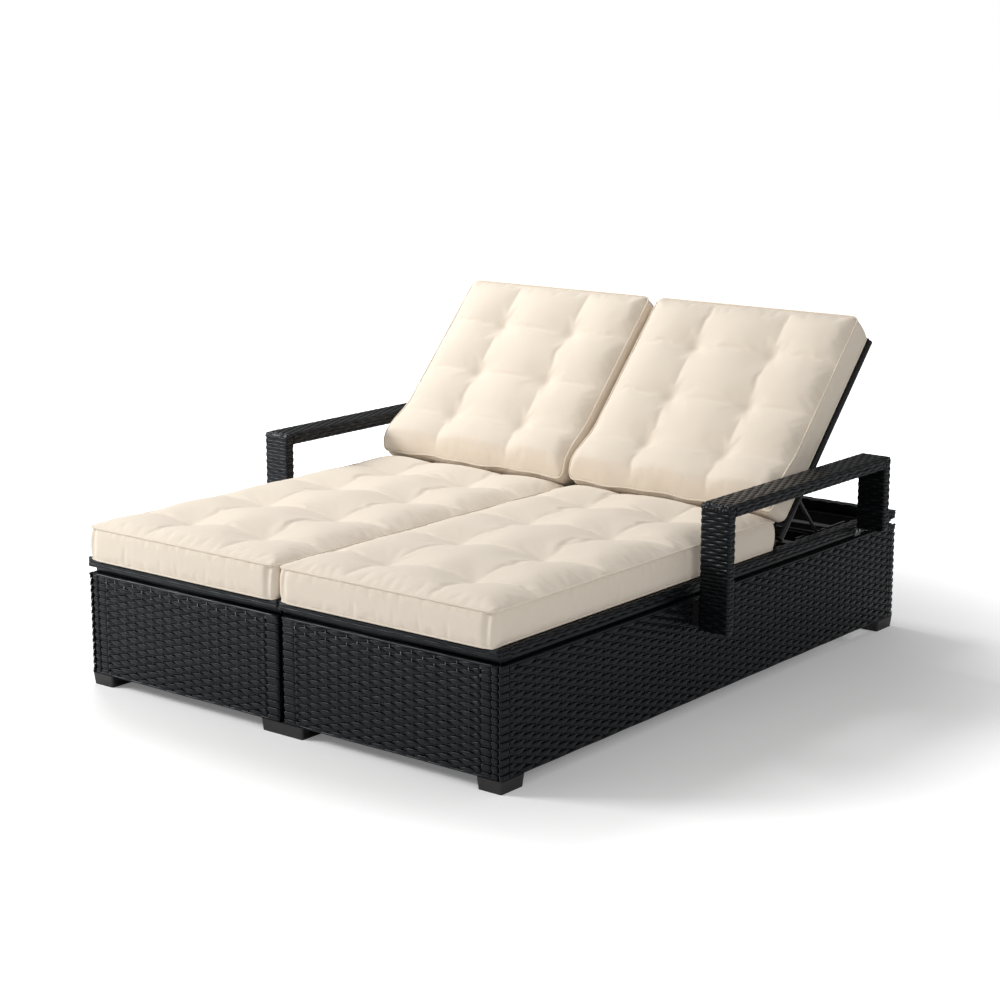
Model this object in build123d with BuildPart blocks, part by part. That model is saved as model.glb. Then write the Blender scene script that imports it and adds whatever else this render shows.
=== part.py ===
"""Double chaise lounger: a woven base in two halves, two arms and two reclining backrests.

Millimetres. +X runs across the lounger, +Y from the foot end to the head end and +Z up.
The origin lies on the floor in the middle of the footprint. The backrests stand as far up
as their props hold them, and lie flat on the rims at the other end of their travel.
"""
import os
from math import cos, radians, sin

from build123d import *

SIDES = {"left": -1, "right": 1}

# base
base_width = 1400.0
base_length = 1840.0
foot_height = 32.0
panel_height = 276.0
panel_thickness = 20.0
panel_border = 26.0
weave_thickness = 6.0
neck_height = 8.0
neck_inset = 5.0
seam_gap = 0.3
seam_recess = 8.0
corner_lip = 4.0
corner_lip_length = 24.0
corner_groove = 9.0

# rims round the top of the base
rim_height = 34.0
rim_overhang = 12.0
rim_width = 45.0
rim_edge_radius = 7.0
centre_rim_width = 29.0

# steel frame
frame_tube = 30.0
frame_wall = 1.5
centre_tube = 45.0
weld_gap = 0.05

# bolts that hold the two halves together
seam_bolt_radius = 4.0
seam_bolt_shares = (0.12, 0.5, 0.88)
bolt_clearance = 0.2
bolt_head_radius = 7.5
bolt_head_height = 5.0

# feet
corner_foot_width = 76.0
corner_foot_depth = 88.0
centre_foot_width = 142.0
foot_draft = 3.0
foot_edge_radius = 5.0

# seat deck on its raised tubes
head_bay_length = 636.0
deck_clearance = 0.5
deck_rear_gap = 12.0
deck_thickness = 6.0
deck_tube_width = 30.0
deck_cross_shares = (0.0, 0.33, 0.67, 1.0)

# cushions
cushion_seat_gap = 0.3
cushion_seam_inset = 2.0
cushion_side_inset = 10.0
cushion_corner_radius = 34.0
piping_inset = 7.0
underside_inset = 10.0
crown_rise = 14.0
crown_shoulder_share = 0.62
crown_shoulder_inset = 60.0
crown_top_inset = 165.0
tuft_radius = 36.0
tuft_depth = 13.0
seat_cushion_thickness = 99.0
seat_tuft_column_shares = (0.305, 0.695)
seat_tuft_row_shares = (0.150, 0.373, 0.606, 0.818)
back_cushion_start = 64.0
back_cushion_length = 640.0
back_cushion_thickness = 98.0
back_cushion_seam_inset = 12.0
back_tuft_column_shares = (0.31, 0.69)
back_tuft_row_shares = (0.205, 0.464, 0.738)

# backrests
recline = 47.0
pivot_setback = 14.0
pivot_drop = 10.0
back_tube_radius = 10.0
back_tube_wall = 1.6
back_tube_start = 26.0
back_tube_end = 690.0
back_tube_rest_gap = 0.3
back_tube_over_rim = 15.0
back_cross_radius = 8.0
back_cross_shares = (0.07, 0.5, 0.985)
back_deck_thickness = 6.0
back_deck_start = 36.0
back_deck_side_inset = 4.0

# hinges of the backrests
lug_thickness = 5.0
lug_rim_gap = 2.0
lug_radius = 9.0
lug_length = 34.0
hinge_pin_radius = 5.0
pin_fit = 0.02
running_fit = 0.06
pin_rim_gap = 0.5
ear_gap = 4.0
ear_thickness = 4.0
bracket_length = 30.0
bracket_plate = 3.0
pin_head_radius = 8.0
pin_head_height = 3.0

# prop stays and their racks
stay_length = 185.0
stay_radius = 5.0
stay_bend_radius = 15.0
stay_pin_radius = 4.0
stay_eye_radius = 8.5
stay_eye_width = 8.0
stay_eye_gap = 2.0
stay_pin_end_gap = 1.0
rack_thickness = 6.0
rack_inset = 30.0
rack_clearance = 0.35
rack_lead = 50.0
rack_tail = 90.0
notch_count = 4
notch_pitch = 33.0
notch_radius = 6.0
notch_depth = 4.0

# arms
arm_gap = 18.0
arm_width = 88.0
arm_rise = 210.0
arm_rail_height = 35.0
arm_length = 824.0
arm_rear_inset = 238.0
arm_post_depth = 32.0
arm_post_drop = 83.0
arm_edge_radius = 6.0
spacer_margin = 10.0
bracket_leg = 4.0
bracket_drop = 28.0
bracket_end_inset = 6.0
arm_bolt_radius = 4.0
arm_bolt_bite = 22.0
arm_bolt_shares = (0.2, 0.6)
screw_radius = 2.5
screw_length = 16.0
screw_head_radius = 5.0
screw_head_height = 2.5
screw_spacing = 16.0
screw_rise_inset = 30.0
cut_overrun = 10.0

# levels and limits worked out from the sizes above
tilt = radians(recline)
half_length = base_length / 2
panel_top = foot_height + panel_height
rim_bottom = panel_top + neck_height
rim_top = rim_bottom + rim_height
rim_outer = base_width / 2 + rim_overhang
rim_inner = rim_outer - rim_width
rim_end = half_length + rim_overhang
rim_end_inner = rim_end - rim_width
seam = seam_gap / 2
centre_rim_inner = seam + centre_rim_width
panel_face = base_width / 2
panel_back = panel_face - panel_thickness
end_panel_back = half_length - panel_thickness
end_panel_side = panel_face - corner_lip - corner_groove
side_panel_end = half_length - corner_lip_length
rail_inner = panel_back - frame_tube
centre_rail_inner = seam + centre_tube
rail_bottom = rim_bottom - frame_tube
rail_middle = rim_bottom - frame_tube / 2
end_rail_inner = end_panel_back - frame_tube
seat_rear_y = half_length - head_bay_length
deck_rear_y = seat_rear_y - deck_rear_gap
deck_underside = rim_top - deck_clearance - deck_thickness
deck_xs = (centre_rim_inner + deck_clearance, rim_inner - deck_clearance)
deck_ys = (-rim_end_inner + deck_clearance, deck_rear_y)
pivot_y = seat_rear_y + pivot_setback
pivot_z = rim_top - pivot_drop
arm_inner = panel_face + arm_gap
arm_outer = arm_inner + arm_width
arm_top = rim_top + arm_rise
arm_underside = arm_top - arm_rail_height
arm_rear_y = half_length - arm_rear_inset
arm_front_y = arm_rear_y - arm_length
arm_post_y = arm_front_y + arm_post_depth / 2
arm_front_post_bottom = panel_top - arm_post_drop
outer_tube_x = rim_inner + back_tube_over_rim
inner_tube_x = centre_rim_inner - back_tube_over_rim
tube_normal = rim_top + back_tube_rest_gap + back_tube_radius - pivot_z
stay_reach = 2 * stay_length * cos(tilt)
rack_top = pivot_z - stay_radius - rack_clearance
rack_front_tube_y = pivot_y + stay_reach - rack_lead
rack_rear_tube_y = pivot_y + stay_reach + notch_pitch * (notch_count - 1) + rack_tail
outer_lug = (rim_inner - lug_rim_gap - lug_thickness, rim_inner - lug_rim_gap)
inner_lug = (centre_rim_inner + lug_rim_gap, centre_rim_inner + lug_rim_gap + lug_thickness)


def middle(limits):
    """The value half way between two limits."""
    return (limits[0] + limits[1]) / 2


def reach(limits):
    """The distance between two limits."""
    return abs(limits[1] - limits[0])


def place(side, limits):
    """X limits given for the right side, turned to the side that is built, lowest first."""
    return sorted((side * limits[0], side * limits[1]))


def inboard(lug_limits, gap, width):
    """X limits of a piece that stands beside a lug, on the side away from its tube."""
    if lug_limits == outer_lug:
        return (lug_limits[0] - gap - width, lug_limits[0] - gap)
    return (lug_limits[1] + gap, lug_limits[1] + gap + width)


def back_point(x, along, normal):
    """A point on a backrest: x across, along up from the hinge axis, normal out of its face."""
    y = pivot_y + along * cos(tilt) - normal * sin(tilt)
    z = pivot_z + along * sin(tilt) + normal * cos(tilt)
    return (x, y, z)


def back_plane(along, normal):
    """A plane in a backrest's own tilt: local X across, local Y up along the backrest."""
    return Plane(origin=back_point(0, along, normal), x_dir=(1, 0, 0), z_dir=(0, -sin(tilt), cos(tilt)))


def back_side_plane(x):
    """A plane square to X at the hinge axis: local X along the backrest, local Y out of its face."""
    return Plane(origin=(x, pivot_y, pivot_z), x_dir=(0, cos(tilt), sin(tilt)), z_dir=(1, 0, 0))


def side_plane(x):
    """A plane square to X whose sketch axes are world Y and Z."""
    return Plane(origin=(x, 0, 0), x_dir=(0, 1, 0), z_dir=(1, 0, 0))


def block(xs, ys, zs, mode=Mode.ADD):
    """Adds to the piece being built a block between limits on the three axes, or cuts it."""
    with BuildSketch(Plane.XY.offset(min(zs))) as outline:
        with Locations((middle(xs), middle(ys))):
            Rectangle(reach(xs), reach(ys))
    extrude(outline.sketch, amount=reach(zs), mode=mode)


def rod(xs, y, z, radius, mode=Mode.ADD):
    """Adds a round rod along X to the piece being built, or cuts a round hole."""
    with BuildSketch(side_plane(min(xs))) as outline:
        with Locations((y, z)):
            Circle(radius)
    extrude(outline.sketch, amount=reach(xs), mode=mode)


def square_tube(plane, centre, size, length):
    """Adds an open rectangular tube that runs from a plane along its normal."""
    with BuildSketch(plane) as outline:
        with Locations(centre):
            Rectangle(*size)
            Rectangle(size[0] - 2 * frame_wall, size[1] - 2 * frame_wall, mode=Mode.SUBTRACT)
    extrude(outline.sketch, amount=length)


def tube_along_x(xs, y, z, size):
    """Adds a frame tube that runs across."""
    square_tube(side_plane(min(xs)), (y, z), size, reach(xs))


def tube_along_y(ys, x, z, size):
    """Adds a frame tube that runs from the foot end to the head end."""
    plane = Plane(origin=(0, ys[0], 0), x_dir=(-1, 0, 0), z_dir=(0, 1, 0))
    square_tube(plane, (-x, z), size, reach(ys))


def tube_along_z(zs, x, y, size):
    """Adds an upright frame tube."""
    square_tube(Plane.XY.offset(zs[0]), (x, y), size, reach(zs))


def save(piece, name):
    """Labels a finished piece and writes its STEP file."""
    piece.label = name
    export_step(piece, f"parts/{name}.step")


def arm_bolt_places():
    """The Y and Z of each bolt through an arm's front post."""
    low = arm_front_post_bottom + spacer_margin
    height = panel_top - spacer_margin - low
    return [(arm_post_y, low + height * share) for share in arm_bolt_shares]


def arm_screw_ys():
    """The Y of each screw of an arm's rear bracket."""
    centre = arm_rear_y - arm_post_depth / 2
    return (centre - screw_spacing / 2, centre + screw_spacing / 2)


def side_panel_piece(name, side):
    """The woven panel down one side, with a stile behind the arm's front post and thin lips at its ends."""
    xs = place(side, (panel_back, panel_face))
    pocket_xs = place(side, (panel_back, panel_face - weave_thickness))
    pocket_zs = (foot_height + panel_border, panel_top - panel_border)
    stile = (arm_front_y, arm_front_y + arm_post_depth)
    lip_xs = place(side, (panel_face - corner_lip, panel_face))
    with BuildPart() as side_panel:
        block(xs, (-side_panel_end, side_panel_end), (foot_height, panel_top))
        block(lip_xs, (-half_length, half_length), (foot_height, panel_top))
        pocket_end = side_panel_end - panel_border
        block(pocket_xs, (-pocket_end, stile[0]), pocket_zs, mode=Mode.SUBTRACT)
        block(pocket_xs, (stile[1], pocket_end), pocket_zs, mode=Mode.SUBTRACT)
        neck_xs = place(side, (panel_back, panel_face - neck_inset))
        block(neck_xs, (-side_panel_end, side_panel_end), (panel_top, rim_bottom))
        for y, z in arm_bolt_places():
            rod(xs, y, z, arm_bolt_radius + bolt_clearance, mode=Mode.SUBTRACT)
    save(side_panel.part, f"{name}_side_panel")


def end_panel_piece(name, side, label, end):
    """The woven front or rear panel of one half, set between the seam and the side panel."""
    xs = place(side, (seam_recess, end_panel_side))
    ys = sorted((end * end_panel_back, end * half_length))
    pocket_xs = place(side, (seam_recess + panel_border, end_panel_side - panel_border))
    pocket_ys = sorted((end * end_panel_back, end * (half_length - weave_thickness)))
    neck_ys = sorted((end * end_panel_back, end * (half_length - neck_inset)))
    with BuildPart() as end_panel:
        block(xs, ys, (foot_height, panel_top))
        pocket_zs = (foot_height + panel_border, panel_top - panel_border)
        block(pocket_xs, pocket_ys, pocket_zs, mode=Mode.SUBTRACT)
        block(place(side, (seam, panel_face - neck_inset)), neck_ys, (panel_top, rim_bottom))
    save(end_panel.part, f"{name}_{label}_panel")


def side_rim_piece(name, side):
    """The wrapped rail along one side, with holes for the screws of the arm's rear bracket."""
    with BuildPart() as side_rim:
        block(place(side, (rim_inner, rim_outer)), (-rim_end_inner, rim_end_inner), (rim_bottom, rim_top))
        outer_face = side_rim.faces().sort_by(Axis.X)[-1 if side > 0 else 0]
        fillet(outer_face.edges().filter_by(Axis.Y), rim_edge_radius)
        for y in arm_screw_ys():
            hole_xs = place(side, (rim_outer - screw_length, rim_outer))
            rod(hole_xs, y, rim_top - bracket_drop / 2, screw_radius + pin_fit, mode=Mode.SUBTRACT)
    save(side_rim.part, f"{name}_side_rim")


def end_rim_piece(name, side, label, end):
    """The wrapped rail along the foot or head end of one half, rounded at its outer corner."""
    with BuildPart() as end_rim:
        ys = sorted((end * rim_end_inner, end * rim_end))
        block(place(side, (seam, rim_outer)), ys, (rim_bottom, rim_top))
        end_face = end_rim.faces().sort_by(Axis.Y)[-1 if end > 0 else 0]
        side_face = end_rim.faces().sort_by(Axis.X)[-1 if side > 0 else 0]
        corner = end_face.edges().filter_by(Axis.Z).sort_by(Axis.X)[-1 if side > 0 else 0]
        long_edges = end_face.edges().filter_by(Axis.X) + side_face.edges().filter_by(Axis.Y)
        fillet(long_edges + [corner], rim_edge_radius)
    save(end_rim.part, f"{name}_{label}_rim")


def base_frame_piece(name, side):
    """The welded steel frame of one half: each tube is a solid, set off by the weld gap."""
    outer_x = side * middle((rail_inner, panel_back))
    centre_x = side * middle((seam, centre_rail_inner))
    end_y = middle((end_rail_inner, end_panel_back))
    square = (frame_tube, frame_tube)
    wide = (centre_tube, frame_tube)
    post_zs = (foot_height + frame_tube + weld_gap, rail_bottom - weld_gap)
    rail_ys = (-end_panel_back, end_panel_back)
    cross_xs = place(side, (centre_rail_inner + weld_gap, rail_inner - weld_gap))
    deck_zs = (rim_bottom + weld_gap, deck_underside)
    deck_tube = (deck_tube_width, reach(deck_zs))
    deck_cross_inset = deck_tube_width + weld_gap
    deck_cross_xs = place(side, (deck_xs[0] + deck_cross_inset, deck_xs[1] - deck_cross_inset))
    with BuildPart() as base_frame:
        for y in (-end_y, arm_post_y, end_y):
            tube_along_z(post_zs, outer_x, y, square)
        for y in (-end_y, end_y):
            tube_along_z(post_zs, centre_x, y, wide)
        for z in (foot_height + frame_tube / 2, rail_middle):
            tube_along_y(rail_ys, outer_x, z, square)
            tube_along_y(rail_ys, centre_x, z, wide)
            for y in (-end_y, end_y):
                tube_along_x(cross_xs, y, z, square)
        for y in (rack_front_tube_y, rack_rear_tube_y):
            tube_along_x(cross_xs, y, rail_middle, square)
        for edge_x in (deck_xs[0] + deck_tube_width / 2, deck_xs[1] - deck_tube_width / 2):
            tube_along_y(deck_ys, side * edge_x, middle(deck_zs), deck_tube)
        for share in deck_cross_shares:
            y = deck_ys[0] + deck_tube_width / 2 + (reach(deck_ys) - deck_tube_width) * share
            tube_along_x(deck_cross_xs, y, middle(deck_zs), deck_tube)
        cap_x = side * middle((seam, centre_rim_inner))
        cap_ys = (-rim_end_inner, rim_end_inner)
        cap_zs = (rim_bottom + weld_gap, rim_top)
        tube_along_y(cap_ys, cap_x, middle(cap_zs), (centre_rim_width, reach(cap_zs)))
        for y, z in arm_bolt_places():
            hole_xs = place(side, (rail_inner - cut_overrun, panel_back + cut_overrun))
            rod(hole_xs, y, z, arm_bolt_radius + bolt_clearance, mode=Mode.SUBTRACT)
        for share in seam_bolt_shares:
            hole_xs = place(side, (0, centre_rail_inner + cut_overrun))
            y = base_length * share - half_length
            rod(hole_xs, y, rail_middle, seam_bolt_radius + bolt_clearance, mode=Mode.SUBTRACT)
    save(base_frame.part, f"{name}_base_frame")


def seat_deck_piece(name, side):
    """The woven seat deck on the raised tubes of the frame."""
    with BuildPart() as seat_deck:
        block(place(side, deck_xs), deck_ys, (deck_underside, deck_underside + deck_thickness))
    save(seat_deck.part, f"{name}_seat_deck")


def foot_piece(name, xs, end):
    """A foot under the base, slightly narrower at the floor."""
    ys = sorted((end * half_length, end * (half_length - corner_foot_depth)))
    with BuildPart() as foot:
        with BuildSketch(Plane.XY):
            with Locations((middle(xs), middle(ys))):
                sole = (reach(xs) - 2 * foot_draft, reach(ys) - 2 * foot_draft)
                RectangleRounded(*sole, foot_edge_radius)
        with BuildSketch(Plane.XY.offset(foot_height)):
            with Locations((middle(xs), middle(ys))):
                RectangleRounded(reach(xs), reach(ys), foot_edge_radius)
        loft(ruled=True)
    save(foot.part, name)


def seam_bolts_piece():
    """The bolts, each with its head and nut, that hold the two halves together."""
    with BuildPart() as seam_bolts:
        for share in seam_bolt_shares:
            y = base_length * share - half_length
            rod((-centre_rail_inner, centre_rail_inner), y, rail_middle, seam_bolt_radius)
            for side in SIDES.values():
                head_xs = place(side, (centre_rail_inner, centre_rail_inner + bolt_head_height))
                rod(head_xs, y, rail_middle, bolt_head_radius)
    save(seam_bolts.part, "seam_bolts")


def cushion_piece(name, plane, xs, ys, thickness, column_shares, row_shares):
    """A cushion on a plane at its underside: drawn-in edges, a crown and sewn tufts."""
    width = reach(xs)
    length = reach(ys)
    side_height = thickness - crown_rise
    shoulder = side_height + crown_rise * crown_shoulder_share
    ball_radius = (tuft_radius**2 + tuft_depth**2) / (2 * tuft_depth)

    def outline(height, inset):
        with BuildSketch(plane.offset(height)) as section:
            with Locations((middle(xs), middle(ys))):
                RectangleRounded(width - 2 * inset, length - 2 * inset, cushion_corner_radius)
        return section.sketch

    piping = outline(side_height, piping_inset)
    with BuildPart() as cushion:
        loft([outline(0, underside_inset), outline(side_height / 2, 0), piping])
        loft([piping, outline(shoulder, crown_shoulder_inset), outline(thickness, crown_top_inset)])
        ball_height = thickness - tuft_depth + ball_radius
        for column in column_shares:
            for row in row_shares:
                spot = plane.location * Pos(min(xs) + width * column, min(ys) + length * row, ball_height)
                with Locations(spot):
                    Sphere(ball_radius, mode=Mode.SUBTRACT)
    save(cushion.part, name)


def seat_cushion_piece(name, side):
    """The long seat cushion of one half, from over the front rim to the backrest."""
    plane = Plane.XY.offset(rim_top + cushion_seat_gap)
    xs = place(side, (cushion_seam_inset, panel_face - cushion_side_inset))
    ys = (-rim_end, seat_rear_y)
    shares = (seat_tuft_column_shares, seat_tuft_row_shares)
    cushion_piece(f"{name}_seat_cushion", plane, xs, ys, seat_cushion_thickness, *shares)


def arm_pieces(name, side):
    """One arm: its wrapped rail and posts, and the spacer and bracket that hold them."""
    xs = place(side, (arm_inner, arm_outer))
    front_ys = (arm_front_y, arm_front_y + arm_post_depth)
    rear_ys = (arm_rear_y - arm_post_depth, arm_rear_y)

    with BuildPart() as arm_rail:
        block(xs, (arm_front_y, arm_rear_y), (arm_underside, arm_top))
        fillet(arm_rail.faces().sort_by(Axis.Z)[-1].edges(), arm_edge_radius)
    save(arm_rail.part, f"{name}_arm_rail")

    with BuildPart() as front_post:
        block(xs, front_ys, (arm_front_post_bottom, arm_underside))
        for y, z in arm_bolt_places():
            hole_xs = place(side, (arm_inner, arm_inner + arm_bolt_bite))
            rod(hole_xs, y, z, arm_bolt_radius + pin_fit, mode=Mode.SUBTRACT)
    save(front_post.part, f"{name}_arm_front_post")

    with BuildPart() as rear_post:
        block(xs, rear_ys, (rim_top, arm_underside))
        for y in arm_screw_ys():
            with BuildSketch(Plane.XY.offset(rim_top)):
                with Locations((side * (arm_inner + screw_rise_inset), y)):
                    Circle(screw_radius + pin_fit)
            extrude(amount=screw_length, mode=Mode.SUBTRACT)
    save(rear_post.part, f"{name}_arm_rear_post")

    spacer_zs = (arm_front_post_bottom + spacer_margin, panel_top - spacer_margin)
    with BuildPart() as spacer:
        block(place(side, (panel_face, arm_inner)), front_ys, spacer_zs)
        for y, z in arm_bolt_places():
            hole_xs = place(side, (panel_face, arm_inner))
            rod(hole_xs, y, z, arm_bolt_radius + bolt_clearance, mode=Mode.SUBTRACT)
    save(spacer.part, f"{name}_arm_spacer")

    with BuildPart() as bracket:
        shelf_xs = place(side, (rim_outer, arm_outer - bracket_end_inset))
        block(shelf_xs, rear_ys, (rim_top - bracket_leg, rim_top))
        leg_xs = place(side, (rim_outer, rim_outer + bracket_leg))
        block(leg_xs, rear_ys, (rim_top - bracket_drop, rim_top - bracket_leg))
        for y in arm_screw_ys():
            rod(leg_xs, y, rim_top - bracket_drop / 2, screw_radius + bolt_clearance, mode=Mode.SUBTRACT)
            with BuildSketch(Plane.XY.offset(rim_top)):
                with Locations((side * (arm_inner + screw_rise_inset), y)):
                    Circle(screw_radius + bolt_clearance)
            extrude(amount=-bracket_leg, mode=Mode.SUBTRACT)
    save(bracket.part, f"{name}_arm_rear_bracket")


def arm_fastener_pieces(name, side):
    """The long bolts of the arm's front post and the screws of its rear bracket."""
    with BuildPart() as arm_bolts:
        for y, z in arm_bolt_places():
            rod(place(side, (rail_inner, arm_inner + arm_bolt_bite)), y, z, arm_bolt_radius)
            rod(place(side, (rail_inner - bolt_head_height, rail_inner)), y, z, bolt_head_radius)
    save(arm_bolts.part, f"{name}_arm_bolts")

    with BuildPart() as arm_screws:
        leg_face = rim_outer + bracket_leg
        shelf_bottom = rim_top - bracket_leg
        for y in arm_screw_ys():
            z = rim_top - bracket_drop / 2
            rod(place(side, (rim_outer - screw_length, leg_face)), y, z, screw_radius)
            rod(place(side, (leg_face, leg_face + screw_head_height)), y, z, screw_head_radius)
            with BuildSketch(Plane.XY.offset(shelf_bottom)) as shank:
                with Locations((side * (arm_inner + screw_rise_inset), y)):
                    Circle(screw_radius)
            extrude(shank.sketch, amount=bracket_leg + screw_length)
            with BuildSketch(Plane.XY.offset(shelf_bottom)) as head:
                with Locations((side * (arm_inner + screw_rise_inset), y)):
                    Circle(screw_head_radius)
            extrude(head.sketch, amount=-screw_head_height)
    save(arm_screws.part, f"{name}_arm_screws")


def back_side_tube_piece(name, side, label, tube_x, lug_limits):
    """A side tube of a backrest with its two welded lugs, for the hinge pin and the stay pin."""
    tube_plane = Plane(
        origin=back_point(side * tube_x, back_tube_start, tube_normal),
        x_dir=(1, 0, 0),
        z_dir=(0, cos(tilt), sin(tilt)),
    )
    tube_length = back_tube_end - back_tube_start
    plate_xs = place(side, lug_limits)
    near_face = min(lug_limits, key=lambda limit: abs(limit - tube_x))
    bridge_xs = place(side, (near_face, tube_x))
    axes = ((0, hinge_pin_radius + running_fit), (stay_length, stay_pin_radius + pin_fit))
    with BuildPart() as side_tube:
        for along, hole_radius in axes:
            weld_start = max(along, back_tube_start)
            weld_centre = (weld_start + lug_length / 2, tube_normal)
            with BuildSketch(back_side_plane(plate_xs[0])) as plate:
                with Locations((along, 0)):
                    Circle(lug_radius)
                with Locations(weld_centre):
                    Rectangle(lug_length, back_tube_radius)
                make_hull()
                with Locations((along, 0)):
                    Circle(hole_radius, mode=Mode.SUBTRACT)
            extrude(plate.sketch, amount=reach(plate_xs))
            with BuildSketch(back_side_plane(bridge_xs[0])) as bridge:
                with Locations(weld_centre):
                    Rectangle(lug_length, back_tube_radius)
            extrude(bridge.sketch, amount=reach(bridge_xs))
        with BuildSketch(tube_plane) as bore:
            Circle(back_tube_radius)
        extrude(bore.sketch, amount=tube_length, mode=Mode.SUBTRACT)
        with BuildSketch(tube_plane) as ring:
            Circle(back_tube_radius)
            Circle(back_tube_radius - back_tube_wall, mode=Mode.SUBTRACT)
        extrude(ring.sketch, amount=tube_length)
    save(side_tube.part, f"{name}_back_{label}_tube")


def back_cross_tubes_piece(name, side):
    """The cross tubes of a backrest, coped to fit against its side tubes."""
    xs = place(side, (inner_tube_x, outer_tube_x))
    with BuildPart() as cross_tubes:
        for share in back_cross_shares:
            along = back_tube_start + (back_tube_end - back_tube_start) * share
            with BuildSketch(back_side_plane(xs[0])) as ring:
                with Locations((along, tube_normal)):
                    Circle(back_cross_radius)
                    Circle(back_cross_radius - back_tube_wall, mode=Mode.SUBTRACT)
            extrude(ring.sketch, amount=reach(xs))
        for tube_x in (inner_tube_x, outer_tube_x):
            cope_plane = Plane(
                origin=back_point(side * tube_x, 0, tube_normal),
                x_dir=(1, 0, 0),
                z_dir=(0, cos(tilt), sin(tilt)),
            )
            with BuildSketch(cope_plane) as cope:
                Circle(back_tube_radius + weld_gap)
            extrude(cope.sketch, amount=back_tube_end + cut_overrun, mode=Mode.SUBTRACT)
    save(cross_tubes.part, f"{name}_back_cross_tubes")


def back_cover_pieces(name, side):
    """The woven deck of a backrest and the tufted cushion that lies on it."""
    deck_normal = tube_normal + back_tube_radius + cushion_seat_gap
    deck_xs = place(
        side,
        (
            inner_tube_x - back_tube_radius + back_deck_side_inset,
            outer_tube_x + back_tube_radius - back_deck_side_inset,
        ),
    )
    with BuildPart() as back_deck:
        with BuildSketch(back_plane(0, deck_normal)):
            with Locations((middle(deck_xs), middle((back_deck_start, back_tube_end)))):
                Rectangle(reach(deck_xs), back_tube_end - back_deck_start)
        extrude(amount=back_deck_thickness)
    save(back_deck.part, f"{name}_back_deck")

    cushion_plane = back_plane(0, deck_normal + back_deck_thickness + cushion_seat_gap)
    xs = place(side, (back_cushion_seam_inset, panel_face - cushion_side_inset))
    ys = (back_cushion_start, back_cushion_start + back_cushion_length)
    shares = (back_tuft_column_shares, back_tuft_row_shares)
    cushion_piece(f"{name}_back_cushion", cushion_plane, xs, ys, back_cushion_thickness, *shares)


def hinge_pieces(name, side):
    """The hinge brackets on the frame, each an ear on a plate, and the pins through them."""
    with BuildPart() as brackets:
        for lug_limits in (outer_lug, inner_lug):
            ear_xs = place(side, inboard(lug_limits, ear_gap, ear_thickness))
            far_end = max(lug_limits) if lug_limits == outer_lug else min(lug_limits)
            inner_end = min(inboard(lug_limits, ear_gap, ear_thickness))
            outer_end = max(inboard(lug_limits, ear_gap, ear_thickness))
            plate_xs = place(side, (min(inner_end, far_end), max(outer_end, far_end)))
            plate_ys = (pivot_y - bracket_length / 2, pivot_y + bracket_length / 2)
            block(plate_xs, plate_ys, (rim_bottom, rim_bottom + bracket_plate))
            with BuildSketch(side_plane(ear_xs[0])) as ear:
                with Locations((pivot_y, pivot_z)):
                    Circle(lug_radius)
                with Locations((pivot_y, rim_bottom + bracket_plate / 2)):
                    Rectangle(bracket_length, bracket_plate)
                make_hull()
                with Locations((pivot_y, pivot_z)):
                    Circle(hinge_pin_radius + pin_fit, mode=Mode.SUBTRACT)
            extrude(ear.sketch, amount=reach(ear_xs))
    save(brackets.part, f"{name}_hinge_brackets")

    with BuildPart() as pins:
        for lug_limits in (outer_lug, inner_lug):
            ear = inboard(lug_limits, ear_gap, ear_thickness)
            rim_side = rim_inner - pin_rim_gap if lug_limits == outer_lug else centre_rim_inner + pin_rim_gap
            head_edge = min(ear) if lug_limits == outer_lug else max(ear)
            outward = -pin_head_height if lug_limits == outer_lug else pin_head_height
            rod(place(side, (head_edge, rim_side)), pivot_y, pivot_z, hinge_pin_radius)
            rod(place(side, (head_edge, head_edge + outward)), pivot_y, pivot_z, pin_head_radius)
    save(pins.part, f"{name}_hinge_pins")


def stay_pieces(name, side):
    """The bent prop stay of a backrest and the pins that hang it from the lugs."""
    top = back_point(0, stay_length, 0)
    stay_plane = Plane(origin=top, x_dir=(1, 0, 0), z_dir=(0, sin(tilt), cos(tilt)))
    eyes = [inboard(lug_limits, stay_eye_gap, stay_eye_width) for lug_limits in (outer_lug, inner_lug)]
    leg_xs = [side * middle(eye) for eye in eyes]
    leg_start = stay_pin_radius + running_fit + stay_radius / 2
    with BuildPart() as stay:
        with BuildLine(stay_plane) as route:
            FilletPolyline(
                (leg_xs[0], leg_start),
                (leg_xs[0], stay_length),
                (leg_xs[1], stay_length),
                (leg_xs[1], leg_start),
                radius=stay_bend_radius,
            )
        with BuildSketch(Plane(origin=route.line @ 0, z_dir=route.line % 0)) as section:
            Circle(stay_radius)
        sweep(section.sketch, path=route.line)
        for eye in eyes:
            eye_xs = place(side, eye)
            rod(eye_xs, top[1], top[2], stay_eye_radius)
        for eye in eyes:
            rod(place(side, eye), top[1], top[2], stay_pin_radius + running_fit, mode=Mode.SUBTRACT)
    save(stay.part, f"{name}_prop_stay")

    with BuildPart() as stay_pins:
        for lug_limits, eye in zip((outer_lug, inner_lug), eyes):
            outward = -1 if lug_limits == outer_lug else 1
            start = max(lug_limits) if lug_limits == outer_lug else min(lug_limits)
            end = (min(eye) if outward < 0 else max(eye)) + outward * stay_pin_end_gap
            rod(place(side, (start, end)), top[1], top[2], stay_pin_radius)
            head_xs = place(side, (end, end + outward * pin_head_height))
            rod(head_xs, top[1], top[2], stay_eye_radius)
    save(stay_pins.part, f"{name}_stay_pins")


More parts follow.
